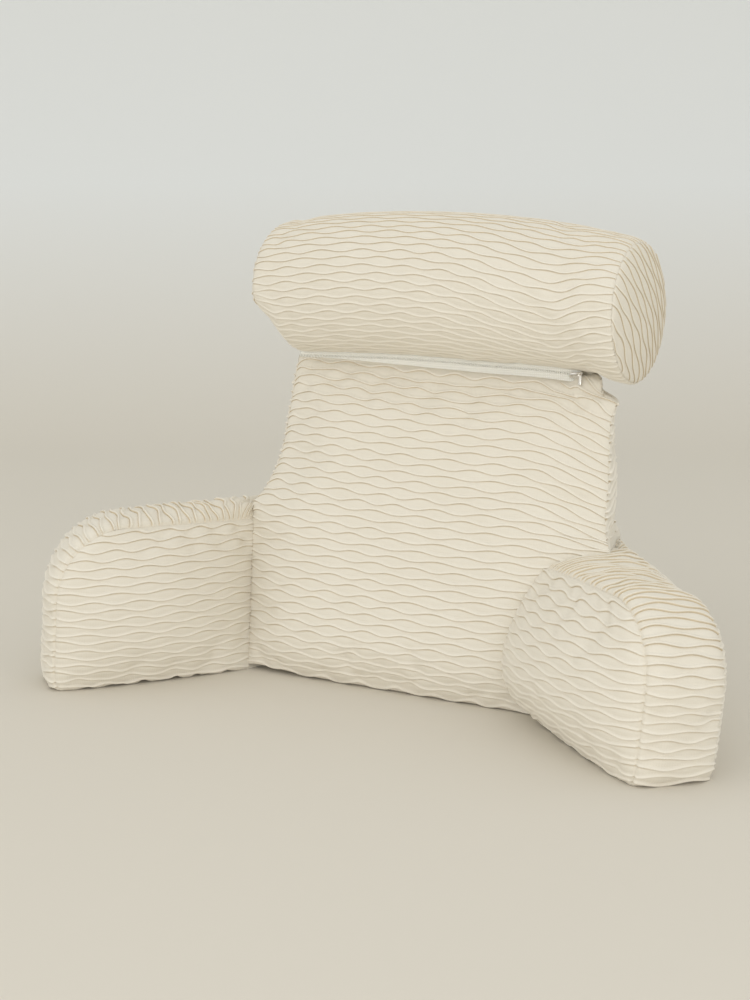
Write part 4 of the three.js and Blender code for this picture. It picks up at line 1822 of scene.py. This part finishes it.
@dataclass
class Zip:
    """The coil zip between the roll and the back, in millimetres.

    Attributes:
        back: The back cushion, whose top edge carries the lower tape.
        left: Where the zip starts.
        right: Where it ends.
        y: Depth of the tapes' middle.
        thick: Thickness of a tape.
        slit: Half of the gap between the tapes.
        lap: How far a tape reaches into its seam.
        least: Width that a tape keeps where the seams close over it.
        bead: Height of the ridge where a tape is sewn to the coil.
        bead_at: Distance of that ridge from the tape's edge.
        rows: Rows of points across a tape.
        cord: Radius of the cord inside the coil.
        loop_pitch: Distance between two loops of the coil on one tape. A real coil has 1.3 mm, which is
            too fine to show, so it is drawn coarser.
        loop_wire: Radius of a loop's wire.
        loop_out: How far a loop starts on its own side of the coil's middle.
        loop_in: How far it reaches past the middle.
        loop_low: How far a loop's ends stand out from the tape.
        loop_high: How much farther its middle does.
        loop_lean: How far it leans along the zip.
        stitch_at: Distance of the sewing stitches from the coil.
        stitch_pitch: Distance between two of them.
        stitch_wire: Radius of their thread.
        slider_x: Place of the slider's middle.
        slider_front: The y of its front face.
        pull_x: Place of the pull, at the slider's wide end.
        pull_y: Depth of the pull's eye.
        pull_rise: Height of the eye above the coil.
        pull_tip: Degrees by which the pull is tipped forward.
        bridge_wire: Radius of the bridge that the pull hangs from.
        bridge_low: Where along the slider the bridge starts to rise.
        bridge_high: Where it has risen.
        eye: Radius of the pull's eye.
        eye_wire: Radius of its wire.
        bar: Half of the bar's thickness.
        bar_edge: How far its edges are rounded.
    """

    back: BackCushion
    left: float = -171.0
    right: float = 161.0
    y: float = 107.0
    thick: float = 0.9
    slit: float = 0.6
    lap: float = 1.6
    least: float = 0.6
    bead: float = 0.35
    bead_at: float = 1.9
    rows: int = 15
    cord: float = 0.9
    loop_pitch: float = 4.0
    loop_wire: float = 0.6
    loop_out: float = 1.8
    loop_in: float = 0.8
    loop_low: float = 0.1
    loop_high: float = 0.55
    loop_lean: float = 0.3
    stitch_at: float = 4.6
    stitch_pitch: float = 3.0
    stitch_wire: float = 0.2
    slider_x: float = 157.0
    slider_front: float = 101.8
    pull_x: float = 165.0
    pull_y: float = 98.0
    pull_rise: float = 3.0
    pull_tip: float = 12.0
    bridge_wire: float = 0.75
    bridge_low: float = -2.0
    bridge_high: float = 7.0
    eye: float = 1.3
    eye_wire: float = 0.45
    bar: float = 0.6
    bar_edge: float = 0.35

    def line(self, x: Array) -> Array:
        """Height of the coil at x."""
        return self.back.zip_height(x)

    def along(self) -> Array:
        """Places of the points along the zip."""
        return np.linspace(self.left, self.right, round((self.right - self.left) / PLEAT.column) + 1)

    def tape_edges(self, tape: Tape, x: Array) -> tuple[Array, Array]:
        """Heights of a tape's edge at the coil and of its sewn edge.

        Args:
            tape: Which tape.
            x: Places along the zip.

        Returns:
            The two heights.
        """
        inner = self.line(x) + tape.value * self.slit
        if tape is Tape.LOWER:
            return inner, np.minimum(self.back.top_front(x) - self.lap, inner - self.least)
        return inner, np.maximum(self.back.roll.underside(x, self.y) + self.lap, inner + self.least)

    def tape(self, tape: Tape) -> Cover:
        """One tape, with its ridge along the coil and the stitches that hold it.

        Args:
            tape: Which tape.

        Returns:
            Its cover.
        """
        x = self.along()
        inner, outer = self.tape_edges(tape, x)
        z = lerp(inner, outer, np.linspace(0, 1, self.rows)[:, None])
        bead = self.bead * np.exp(-(np.abs(z - inner) - self.bead_at) ** 2)
        front = vectors(x, self.y - self.thick / 2 - bead, z)
        rear = vectors(x, self.y + self.thick / 2, z)
        cloth = np.stack(np.broadcast_arrays(x, z), axis=-1)
        cover = Cover()
        faces = [cover.add(Grid(points, cloth, np.zeros_like(z))) for points in (front, rear)]
        for edge in ("start", "end", "left", "right"):
            cover.sew(getattr(faces[0], edge), getattr(faces[1], edge))
        self.add_stitches(cover, tape)
        return cover

    def add_stitches(self, cover: Cover, tape: Tape) -> None:
        """Adds the row of stitches to a tape, where it is wide enough to have one.

        Args:
            cover: The tape's cover.
            tape: Which tape.
        """
        along, sunk, thin = np.array(STITCH).T
        y = self.y - self.thick / 2 - self.stitch_wire / 2
        for start in np.arange(self.left, self.right - self.stitch_pitch, self.stitch_pitch):
            x = start + self.stitch_pitch * along
            inner, outer = self.tape_edges(tape, x)
            z = self.line(x) + tape.value * self.stitch_at
            if np.all(np.abs(z - inner) < np.abs(outer - inner)):
                path = vectors(x, y + self.stitch_wire * sunk, z)
                cover.add(tube(path, self.stitch_wire * thin, (0.0, 0.0, 1.0), 6))

    def coil(self) -> Cover:
        """The coil: loops that reach past each other from the two tapes, on a thin cord.

        Returns:
            Its cover.
        """
        cover = Cover()
        x = self.along()
        cord = tube(vectors(x, self.y, self.line(x)), self.cord + 0 * x, (0.0, 0.0, 1.0))
        # A shade of 1 gives the cord the coil finish's painted shade colour
        cord.shade += 1.0
        cover.add(cord)
        share, thin = np.array(LOOP).T
        front = self.y - self.thick / 2
        for number, middle in enumerate(np.arange(self.left + 1, self.right - 1, self.loop_pitch / 2)):
            tape = Tape.LOWER if number % 2 else Tape.UPPER
            reach = tape.value * lerp(self.loop_out, -self.loop_in, share)
            bulge = self.loop_low + self.loop_high * np.sin(math.pi * share)
            path = vectors(middle + self.loop_lean * share, front - bulge, self.line(middle) + reach)
            cover.add(tube(path, self.loop_wire * thin, (1.0, 0.0, 0.0), 6))
        return cover

    def slider(self) -> Cover:
        """The slider: a front plate with flanges, a post at its wide end and a bridge for the pull.

        Returns:
            Its cover.
        """
        cover = Cover()
        height = float(self.line(np.float64(self.slider_x)))
        place = np.array([self.slider_x, height])
        upside_down = np.array([1.0, -1.0])
        # Outline, depth of its two faces behind the slider's front, and rounding of its edges
        parts = (
            (rounded(PLATE), 0.0, 1.5, 0.45),
            (rounded(FLANGE), 1.2, 4.0, 0.2),
            (rounded(FLANGE) * upside_down, 1.2, 4.0, 0.2),
            (rounded(POST), 1.2, 3.8, 0.2),
        )
        for outline, front, rear, edge in parts:
            cover.add(slab(outline + place, self.slider_front + front, self.slider_front + rear, edge))
        x, y = np.array(BRIDGE).T
        lifted = self.pull_rise * ease(x, self.bridge_low, self.bridge_high)
        path = vectors(x, y, lifted) + np.array([self.slider_x, self.slider_front, height])
        cover.add(tube(path, np.full(len(path), self.bridge_wire), (0.0, 0.0, 1.0), 10))
        return cover

    def pull(self) -> Cover:
        """The pull: an eye round the bridge and a narrow bar that hangs from it.

        Returns:
            Its cover.
        """
        cover = Cover()
        turn = np.linspace(0, 2 * math.pi, 25)[:-1]
        ring = vectors(self.eye * np.cos(turn), 0 * turn, self.eye * np.sin(turn))
        cover.add(self.closed_ring(ring, self.eye_wire))
        cover.add(slab(rounded(BAR), -self.bar, self.bar, self.bar_edge))
        tip = math.radians(self.pull_tip)
        height = float(self.line(np.float64(self.slider_x))) + self.pull_rise
        points = np.array(cover.points)
        y = points[:, 1] * math.cos(tip) + points[:, 2] * math.sin(tip)
        z = points[:, 2] * math.cos(tip) - points[:, 1] * math.sin(tip)
        hung = vectors(points[:, 0], y, z) + np.array([self.pull_x, self.pull_y, height])
        cover.points = hung.tolist()
        return cover

    def closed_ring(self, ring: Array, wire: float) -> Grid:
        """A round wire bent into a closed ring that lies square to the y axis.

        Args:
            ring: Points along its middle.
            wire: Radius of the wire.

        Returns:
            The grid.
        """
        out = ring / np.linalg.norm(ring, axis=1, keepdims=True)
        turn = np.linspace(0, 2 * math.pi, 11)[None, :, None]
        spoke = np.cos(turn) * out[:, None] + np.sin(turn) * np.array([0.0, 1.0, 0.0])
        points = ring[:, None] + wire * spoke
        points = np.concatenate([points, points[:1]])
        return bare(points)

    def build(self, shift: Array) -> None:
        """Makes the zip's pieces.

        Args:
            shift: Place of the pattern's origin in the shared frame, in mm.
        """
        tape, coil, metal = WovenTape().material(), NylonCoil().material(), Nickel().material()
        rows = (
            (self.tape(Tape.LOWER), "zip_tape_lower", "zip_tape", tape),
            (self.tape(Tape.UPPER), "zip_tape_upper", "zip_tape", tape),
            (self.coil(), "zip_coil", "zip_coil", coil),
            (self.slider(), "zip_slider", "zip_metal", metal),
            (self.pull(), "zip_pull", "zip_metal", metal),
        )
        for cover, node, slot, material in rows:
            piece = cover.mesh(f"{node}_piece", shift)
            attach(piece, BODY)
            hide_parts(node)
            finish_piece(piece, material)


def finish_piece(piece: Object, material: Material) -> None:
    """Gives a piece its material.

    Args:
        piece: The piece.
        material: Its material.
    """
    piece.data.materials.append(material)
    LOG.info("%s: %d points, %d faces", piece.name, len(piece.data.vertices), len(piece.data.polygons))


def per_metre(size_mm: float) -> float:
    """Scale of a pattern whose parts are about size_mm across."""
    return 1 / (size_mm * MM)


def add_node(
    tree: Tree,
    kind: str,
    links: dict[str | int, object] | None = None,
    **settings: object,
) -> Node:
    """Adds a node with its settings and links.

    Args:
        tree: The material's nodes.
        kind: Blender's name of the node.
        links: For each input, the output that feeds it, its number or its colour as a hex code.
        **settings: Attributes of the node.

    Returns:
        The node.
    """
    node = tree.nodes.new(kind)
    for name, value in settings.items():
        setattr(node, name, value)
    for name, source in (links or {}).items():
        if isinstance(source, Socket):
            tree.links.new(source, node.inputs[name])
        else:
            value = hex_to_linear(source) if isinstance(source, str) else source
            node.inputs[name].default_value = value
    return node


class Finish:
    """A finish that gives a material."""

    title = "finish"

    def start(self, looks: dict[str, float]) -> tuple[Material, Tree, Node]:
        """Starts a material with its shader.

        Args:
            looks: Inputs of the shader that are the same all over.

        Returns:
            The material, its nodes and its shader.
        """
        made = bpy.data.materials.new(self.title)
        made.use_nodes = True
        tree = made.node_tree
        tree.nodes.clear()
        shader = add_node(tree, "ShaderNodeBsdfPrincipled", looks)
        add_node(tree, "ShaderNodeOutputMaterial", {"Surface": shader.outputs["BSDF"]})
        return made, tree, shader

    def paint(
        self,
        tree: Tree,
        shader: Node,
        colour: str | Socket,
        *layers: tuple[Socket, str],
    ) -> None:
        """Lays colours over one another on the shader.

        Args:
            tree: The material's nodes.
            shader: Its shader.
            colour: The lowest colour.
            *layers: For each further colour, the output that says how much of it shows, and the colour.
        """
        for share, over in layers:
            links = {"Factor": share, "A": colour, "B": over}
            colour = add_node(tree, "ShaderNodeMix", links, data_type="RGBA").outputs["Result"]
        tree.links.new(colour, shader.inputs["Base Color"])


# Radians that the wave texture runs through along one unit
WAVE_RATE = 20.0


def weave(tree: Tree, flat: Socket, thread_mm: float) -> Socket:
    """Adds a plain weave of threads that lie thread_mm apart.

    Args:
        tree: The material's nodes.
        flat: Place on the cloth.
        thread_mm: Distance between two threads.

    Returns:
        The weave's height, from 0 to 1.
    """
    scale = 2 * math.pi / WAVE_RATE * per_metre(thread_mm)
    warp, weft = (
        add_node(tree, "ShaderNodeTexWave", {"Vector": flat, "Scale": scale}, bands_direction=way)
        for way in ("X", "Y")
    )
    links = {0: warp.outputs["Fac"], 1: weft.outputs["Fac"]}
    return add_node(tree, "ShaderNodeMath", links, operation="MULTIPLY").outputs["Value"]


@dataclass(frozen=True)
class PleatedCloth(Finish):
    """Brushed polyester cloth with stitched tucks: matte and a little furry.

    The eye gets a soft ivory with a painted highlight on the crests, painted warm shade in the creases
    under the tucks, and a faint plain weave.
    The threads are 0.4 mm apart in the real cloth and are drawn at six times that, so that they show.
    """

    title: str = "brushed_polyester_pleated"
    dark: str = "#DFD8C9"
    pale: str = "#E6E0D3"
    # Painted highlight on the tucks' crests, and painted shade in the creases under them
    crest: str = "#ECE6D9"
    crease: str = "#D6C6A8"
    thread_mm: float = 2.4
    mottle_mm: float = 35.0
    fuzz_mm: float = 0.9

    def material(self) -> Material:
        """Builds the finish from its nodes.

        Returns:
            The material.
        """
        made, tree, shader = self.start(
            {"Roughness": 0.95, "Specular IOR Level": 0.2, "Sheen Weight": 0.12, "Sheen Roughness": 0.5}
        )
        flat = add_node(tree, "ShaderNodeUVMap", uv_map="cloth").outputs["UV"]
        shade = add_node(tree, "ShaderNodeAttribute", attribute_name="shade").outputs["Fac"]
        low = add_node(tree, "ShaderNodeMapRange", {"Value": shade, "From Min": 0.0, "From Max": 1.0})
        high = add_node(tree, "ShaderNodeMapRange", {"Value": shade, "From Min": 0.0, "From Max": -1.0})
        mottle, fuzz = (
            add_node(tree, "ShaderNodeTexNoise", {"Vector": flat, "Scale": scale, "Detail": 3.0})
            .outputs["Fac"]
            for scale in (per_metre(self.mottle_mm), per_metre(self.fuzz_mm))
        )
        # Painted highlight on the crests and painted shade in the creases, both read from the shade
        # attribute
        painted_crest_highlight, deep = (high.outputs["Result"], self.crest), (low.outputs["Result"], self.crease)
        self.paint(tree, shader, self.dark, (mottle, self.pale), painted_crest_highlight, deep)
        links = {0: weave(tree, flat, self.thread_mm), 1: fuzz}
        nap = add_node(tree, "ShaderNodeMath", links, operation="ADD").outputs["Value"]
        links = {"Height": nap, "Strength": 0.25, "Distance": 0.25 * MM}
        bump = add_node(tree, "ShaderNodeBump", links)
        tree.links.new(bump.outputs["Normal"], shader.inputs["Normal"])
        return made


@dataclass(frozen=True)
class WovenTape(Finish):
    """Woven polyester tape: white, matte and tight.

    The eye gets a cooler white than the cloth's, with a faint weave. Its threads are 0.3 mm apart in the
    real tape and are drawn at eight times that, so that they show.
    """

    title: str = "woven_polyester_tape"
    dark: str = "#EDECE4"
    pale: str = "#FBFAF5"
    thread_mm: float = 2.4

    def material(self) -> Material:
        """Builds the finish from its nodes.

        Returns:
            The material.
        """
        made, tree, shader = self.start({"Roughness": 0.85, "Specular IOR Level": 0.3})
        flat = add_node(tree, "ShaderNodeUVMap", uv_map="cloth").outputs["UV"]
        threads = weave(tree, flat, self.thread_mm)
        self.paint(tree, shader, self.dark, (threads, self.pale))
        links = {"Height": threads, "Strength": 0.3, "Distance": 0.2 * MM}
        bump = add_node(tree, "ShaderNodeBump", links)
        tree.links.new(bump.outputs["Normal"], shader.inputs["Normal"])
        return made


@dataclass(frozen=True)
class NylonCoil(Finish):
    """Nylon wire of the coil: white and slightly glossy, a little uneven in tone as drawn wire is.

    The eye gets a row of fine pale dots, because the cord between the loops is painted greyer, as
    painted shade.
    """

    title: str = "white_nylon"
    dark: str = "#EBEAE3"
    pale: str = "#F8F7F2"
    # Painted shade on the cord between the loops
    cord: str = "#C6C5BB"
    uneven_mm: float = 6.0

    def material(self) -> Material:
        """Builds the finish from its nodes.

        Returns:
            The material.
        """
        made, tree, shader = self.start({"Roughness": 0.4})
        place = add_node(tree, "ShaderNodeTexCoord").outputs["Object"]
        links = {"Vector": place, "Scale": per_metre(self.uneven_mm), "Detail": 3.0}
        uneven = add_node(tree, "ShaderNodeTexNoise", links).outputs["Fac"]
        shade = add_node(tree, "ShaderNodeAttribute", attribute_name="shade").outputs["Fac"]
        # The cord, whose shade attribute is 1, gets the painted shade colour
        self.paint(tree, shader, self.dark, (uneven, self.pale), (shade, self.cord))
        return made


@dataclass(frozen=True)
class Nickel(Finish):
    """Nickel plate on die-cast zinc.

    The eye gets silvery metal with a faint casting grain, duller in patches from handling.
    """

    title: str = "nickel_plated_zinc"
    dark: str = "#C2BDB4"
    pale: str = "#F1EEE8"
    patch_mm: float = 3.0
    grain_mm: float = 0.4

    def material(self) -> Material:
        """Builds the finish from its nodes.

        Returns:
            The material.
        """
        made, tree, shader = self.start({"Metallic": 1.0})
        place = add_node(tree, "ShaderNodeTexCoord").outputs["Object"]
        patches, grain = (
            add_node(tree, "ShaderNodeTexNoise", {"Vector": place, "Scale": scale, "Detail": 3.0})
            .outputs["Fac"]
            for scale in (per_metre(self.patch_mm), per_metre(self.grain_mm))
        )
        self.paint(tree, shader, self.dark, (patches, self.pale))
        dull = add_node(tree, "ShaderNodeMapRange", {"Value": patches, "To Min": 0.14, "To Max": 0.32})
        tree.links.new(dull.outputs["Result"], shader.inputs["Roughness"])
        links = {"Height": grain, "Strength": 0.15, "Distance": 0.1 * MM}
        bump = add_node(tree, "ShaderNodeBump", links)
        tree.links.new(bump.outputs["Normal"], shader.inputs["Normal"])
        return made


@dataclass(frozen=True)
class StageFinish(Finish):
    """Plain matte paper, pale and warm under the pillow and whiter where it goes up behind it."""

    title: str = "matte_paper"
    low: str = "#DAD4C8"
    high: str = "#E7E9E8"

    def material(self) -> Material:
        """Builds the finish from its nodes.

        Returns:
            The material.
        """
        made, tree, shader = self.start({"Roughness": 0.9})
        place = add_node(tree, "ShaderNodeTexCoord").outputs["Object"]
        height = add_node(tree, "ShaderNodeSeparateXYZ", {"Vector": place}).outputs["Z"]
        risen = add_node(tree, "ShaderNodeMapRange", {"Value": height, "From Min": 0.0, "From Max": 0.5})
        self.paint(tree, shader, self.low, (risen.outputs["Result"], self.high))
        return made


@dataclass(frozen=True)
class Lamp:
    """A soft square lamp that faces the pillow.

    Attributes:
        name: Its name.
        place: Where it hangs, in metres.
        size: Its side, in metres.
        watts: Its power.
        tint: Its colour.
        target: What it faces, in metres.
    """

    name: str
    place: tuple[float, float, float]
    size: float
    watts: float
    tint: str
    target: tuple[float, float, float] = (0.0, 0.0, 0.2)

    def hang(self) -> None:
        """Adds the lamp to the scene."""
        data = bpy.data.lights.new(self.name, "AREA")
        data.shape = "SQUARE"
        data.size = self.size
        data.energy = self.watts
        data.color = hex_to_linear(self.tint)[:3]
        lamp = bpy.data.objects.new(self.name, data)
        lamp.location = self.place
        aim = Vector(self.target) - Vector(self.place)
        lamp.rotation_mode = "QUATERNION"
        lamp.rotation_quaternion = aim.to_track_quat("-Z", "Y")
        bpy.context.scene.collection.objects.link(lamp)


LAMPS = (
    Lamp("key", (-1.2, -2.3, 1.7), 2.4, 7.0, "#FFFDF8"),
    Lamp("reflector", (1.9, -1.5, 0.9), 1.8, 8.0, "#FFFFFF"),
    Lamp("fill", (0.5, -2.6, 0.35), 1.6, 12.0, "#FFFFFF"),
)


@dataclass
class Studio:
    """Floor, light and camera.

    Attributes:
        shift: Place of the pattern's origin in the shared frame, in mm.
        azimuth: The camera's turn round the pillow, in degrees.
        elevation: Its height above the horizon, in degrees.
        distance: Its distance from the target, in mm.
        target: What it looks at, in the pattern's frame.
        focal_px: Focal length in pixels of the 750 by 1000 picture.
        picture_high: Height of that picture in pixels.
        floor_near: How far the paper reaches towards the camera and past it, in metres.
        floor_far: How far it lies flat behind the pillow.
        sweep: Radius of the sweep up into the wall.
        wall_high: Height of the wall.
        floor_half: Half of the paper's width.
        sweep_steps: Lines of points along the sweep.
        sensor: Width of the camera's sensor, in mm.
        sight: How far the camera sees, in metres.
        sky: Colour of the soft light from all sides.
        sky_strength: Its strength.
    """

    shift: Array
    azimuth: float = 30.4
    elevation: float = 10.2
    distance: float = 1812.0
    target: tuple[float, float, float] = (-14.0, 0.0, 198.0)
    focal_px: float = 1800.0
    picture_high: float = 1000.0
    floor_near: float = 4.0
    floor_far: float = 1.6
    sweep: float = 1.2
    wall_high: float = 4.0
    floor_half: float = 5.0
    sweep_steps: int = 25
    sensor: float = 36.0
    sight: float = 50.0
    sky: str = "#F1F1EE"
    sky_strength: float = 0.95

    def camera(self) -> None:
        """Sets the camera at the picture's angle."""
        data = bpy.data.cameras.new("camera")
        camera = bpy.data.objects.new("camera", data)
        bpy.context.scene.collection.objects.link(camera)
        azimuth, elevation = math.radians(self.azimuth), math.radians(self.elevation)
        back = Vector((math.sin(azimuth) * math.cos(elevation), -math.cos(azimuth) * math.cos(elevation),
                       math.sin(elevation)))
        aim = Vector((np.array(self.target) + self.shift) * MM)
        camera.location = aim + back * self.distance * MM
        camera.rotation_mode = "QUATERNION"
        camera.rotation_quaternion = (-back).to_track_quat("-Z", "Y")
        data.sensor_width = self.sensor
        data.lens = self.focal_px / self.picture_high * data.sensor_width
        data.clip_end = self.sight
        bpy.context.scene.camera = camera

    def floor(self) -> None:
        """Lays the pale paper, square to the camera, which sweeps up into a wall behind the pillow."""
        bend = np.linspace(0, math.pi / 2, self.sweep_steps)
        far = np.concatenate([[-self.floor_near], self.floor_far + self.sweep * np.sin(bend)])
        high = np.concatenate([[0.0], self.sweep * (1 - np.cos(bend))])
        far, high = np.append(far, far[-1]), np.append(high, self.wall_high)
        azimuth = math.radians(self.azimuth)
        ahead = np.array([-math.sin(azimuth), math.cos(azimuth), 0.0])
        aside = np.array([math.cos(azimuth), math.sin(azimuth), 0.0])
        middle = far[:, None] * ahead + high[:, None] * np.array([0.0, 0.0, 1.0])
        points = np.stack([middle - self.floor_half * aside, middle + self.floor_half * aside], axis=1)
        faces = [(2 * k, 2 * k + 1, 2 * k + 3, 2 * k + 2) for k in range(len(far) - 1)]
        made = bpy.data.meshes.new("floor")
        made.from_pydata(points.reshape(-1, 3).tolist(), [], faces)
        made.polygons.foreach_set("use_smooth", [True] * len(faces))
        made.materials.append(StageFinish().material())
        floor = bpy.data.objects.new("floor", made)
        bpy.context.scene.collection.objects.link(floor)

    def light(self) -> None:
        """Sets the soft light."""
        world = bpy.data.worlds.new("studio")
        bpy.context.scene.world = world
        world.use_nodes = True
        back = world.node_tree.nodes["Background"]
        back.inputs["Color"].default_value = hex_to_linear(self.sky)
        back.inputs["Strength"].default_value = self.sky_strength
        for lamp in LAMPS:
            lamp.hang()
        bpy.context.scene.view_settings.view_transform = "Standard"


def main() -> None:
    """Builds the pillow piece by piece."""
    logging.basicConfig(level=logging.INFO, format="%(message)s")
    tape_low, tape_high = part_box("zip_tape_lower")
    back = BackCushion()
    fastener = Zip(back)
    tape_y = (tape_low.y + tape_high.y) / 2
    shift = np.array([tape_low.x / MM - fastener.left, tape_y / MM - fastener.y, 0.0])
    studio = Studio(shift)
    studio.camera()
    studio.floor()
    studio.light()
    cloth = PleatedCloth().material()
    cushions = [
        back,
        Arm("arm_left_cover", "arm_left", side=-1, splay=35.0, length=211.0, crown=28.0, press=2.5,
            press_high=8.0, root_steep=1.2, front_lean=-0.07, mitre=14.0, seed=41, back=back),
        Arm("arm_right_cover", "arm_right", side=1, splay=47.0, length=217.0, height=155.0, crown=30.0,
            press=66.0, rear_drop=12.0, outer_drop=12.0, root_crown=9.0, outer_crown=26.0,
            front_lean=0.1, seed=31, back=back),
        back.roll,
    ]
    for cushion in cushions:
        finish_piece(cushion.build(shift), cloth)
    fastener.build(shift)


if __name__ == "__main__":
    main()
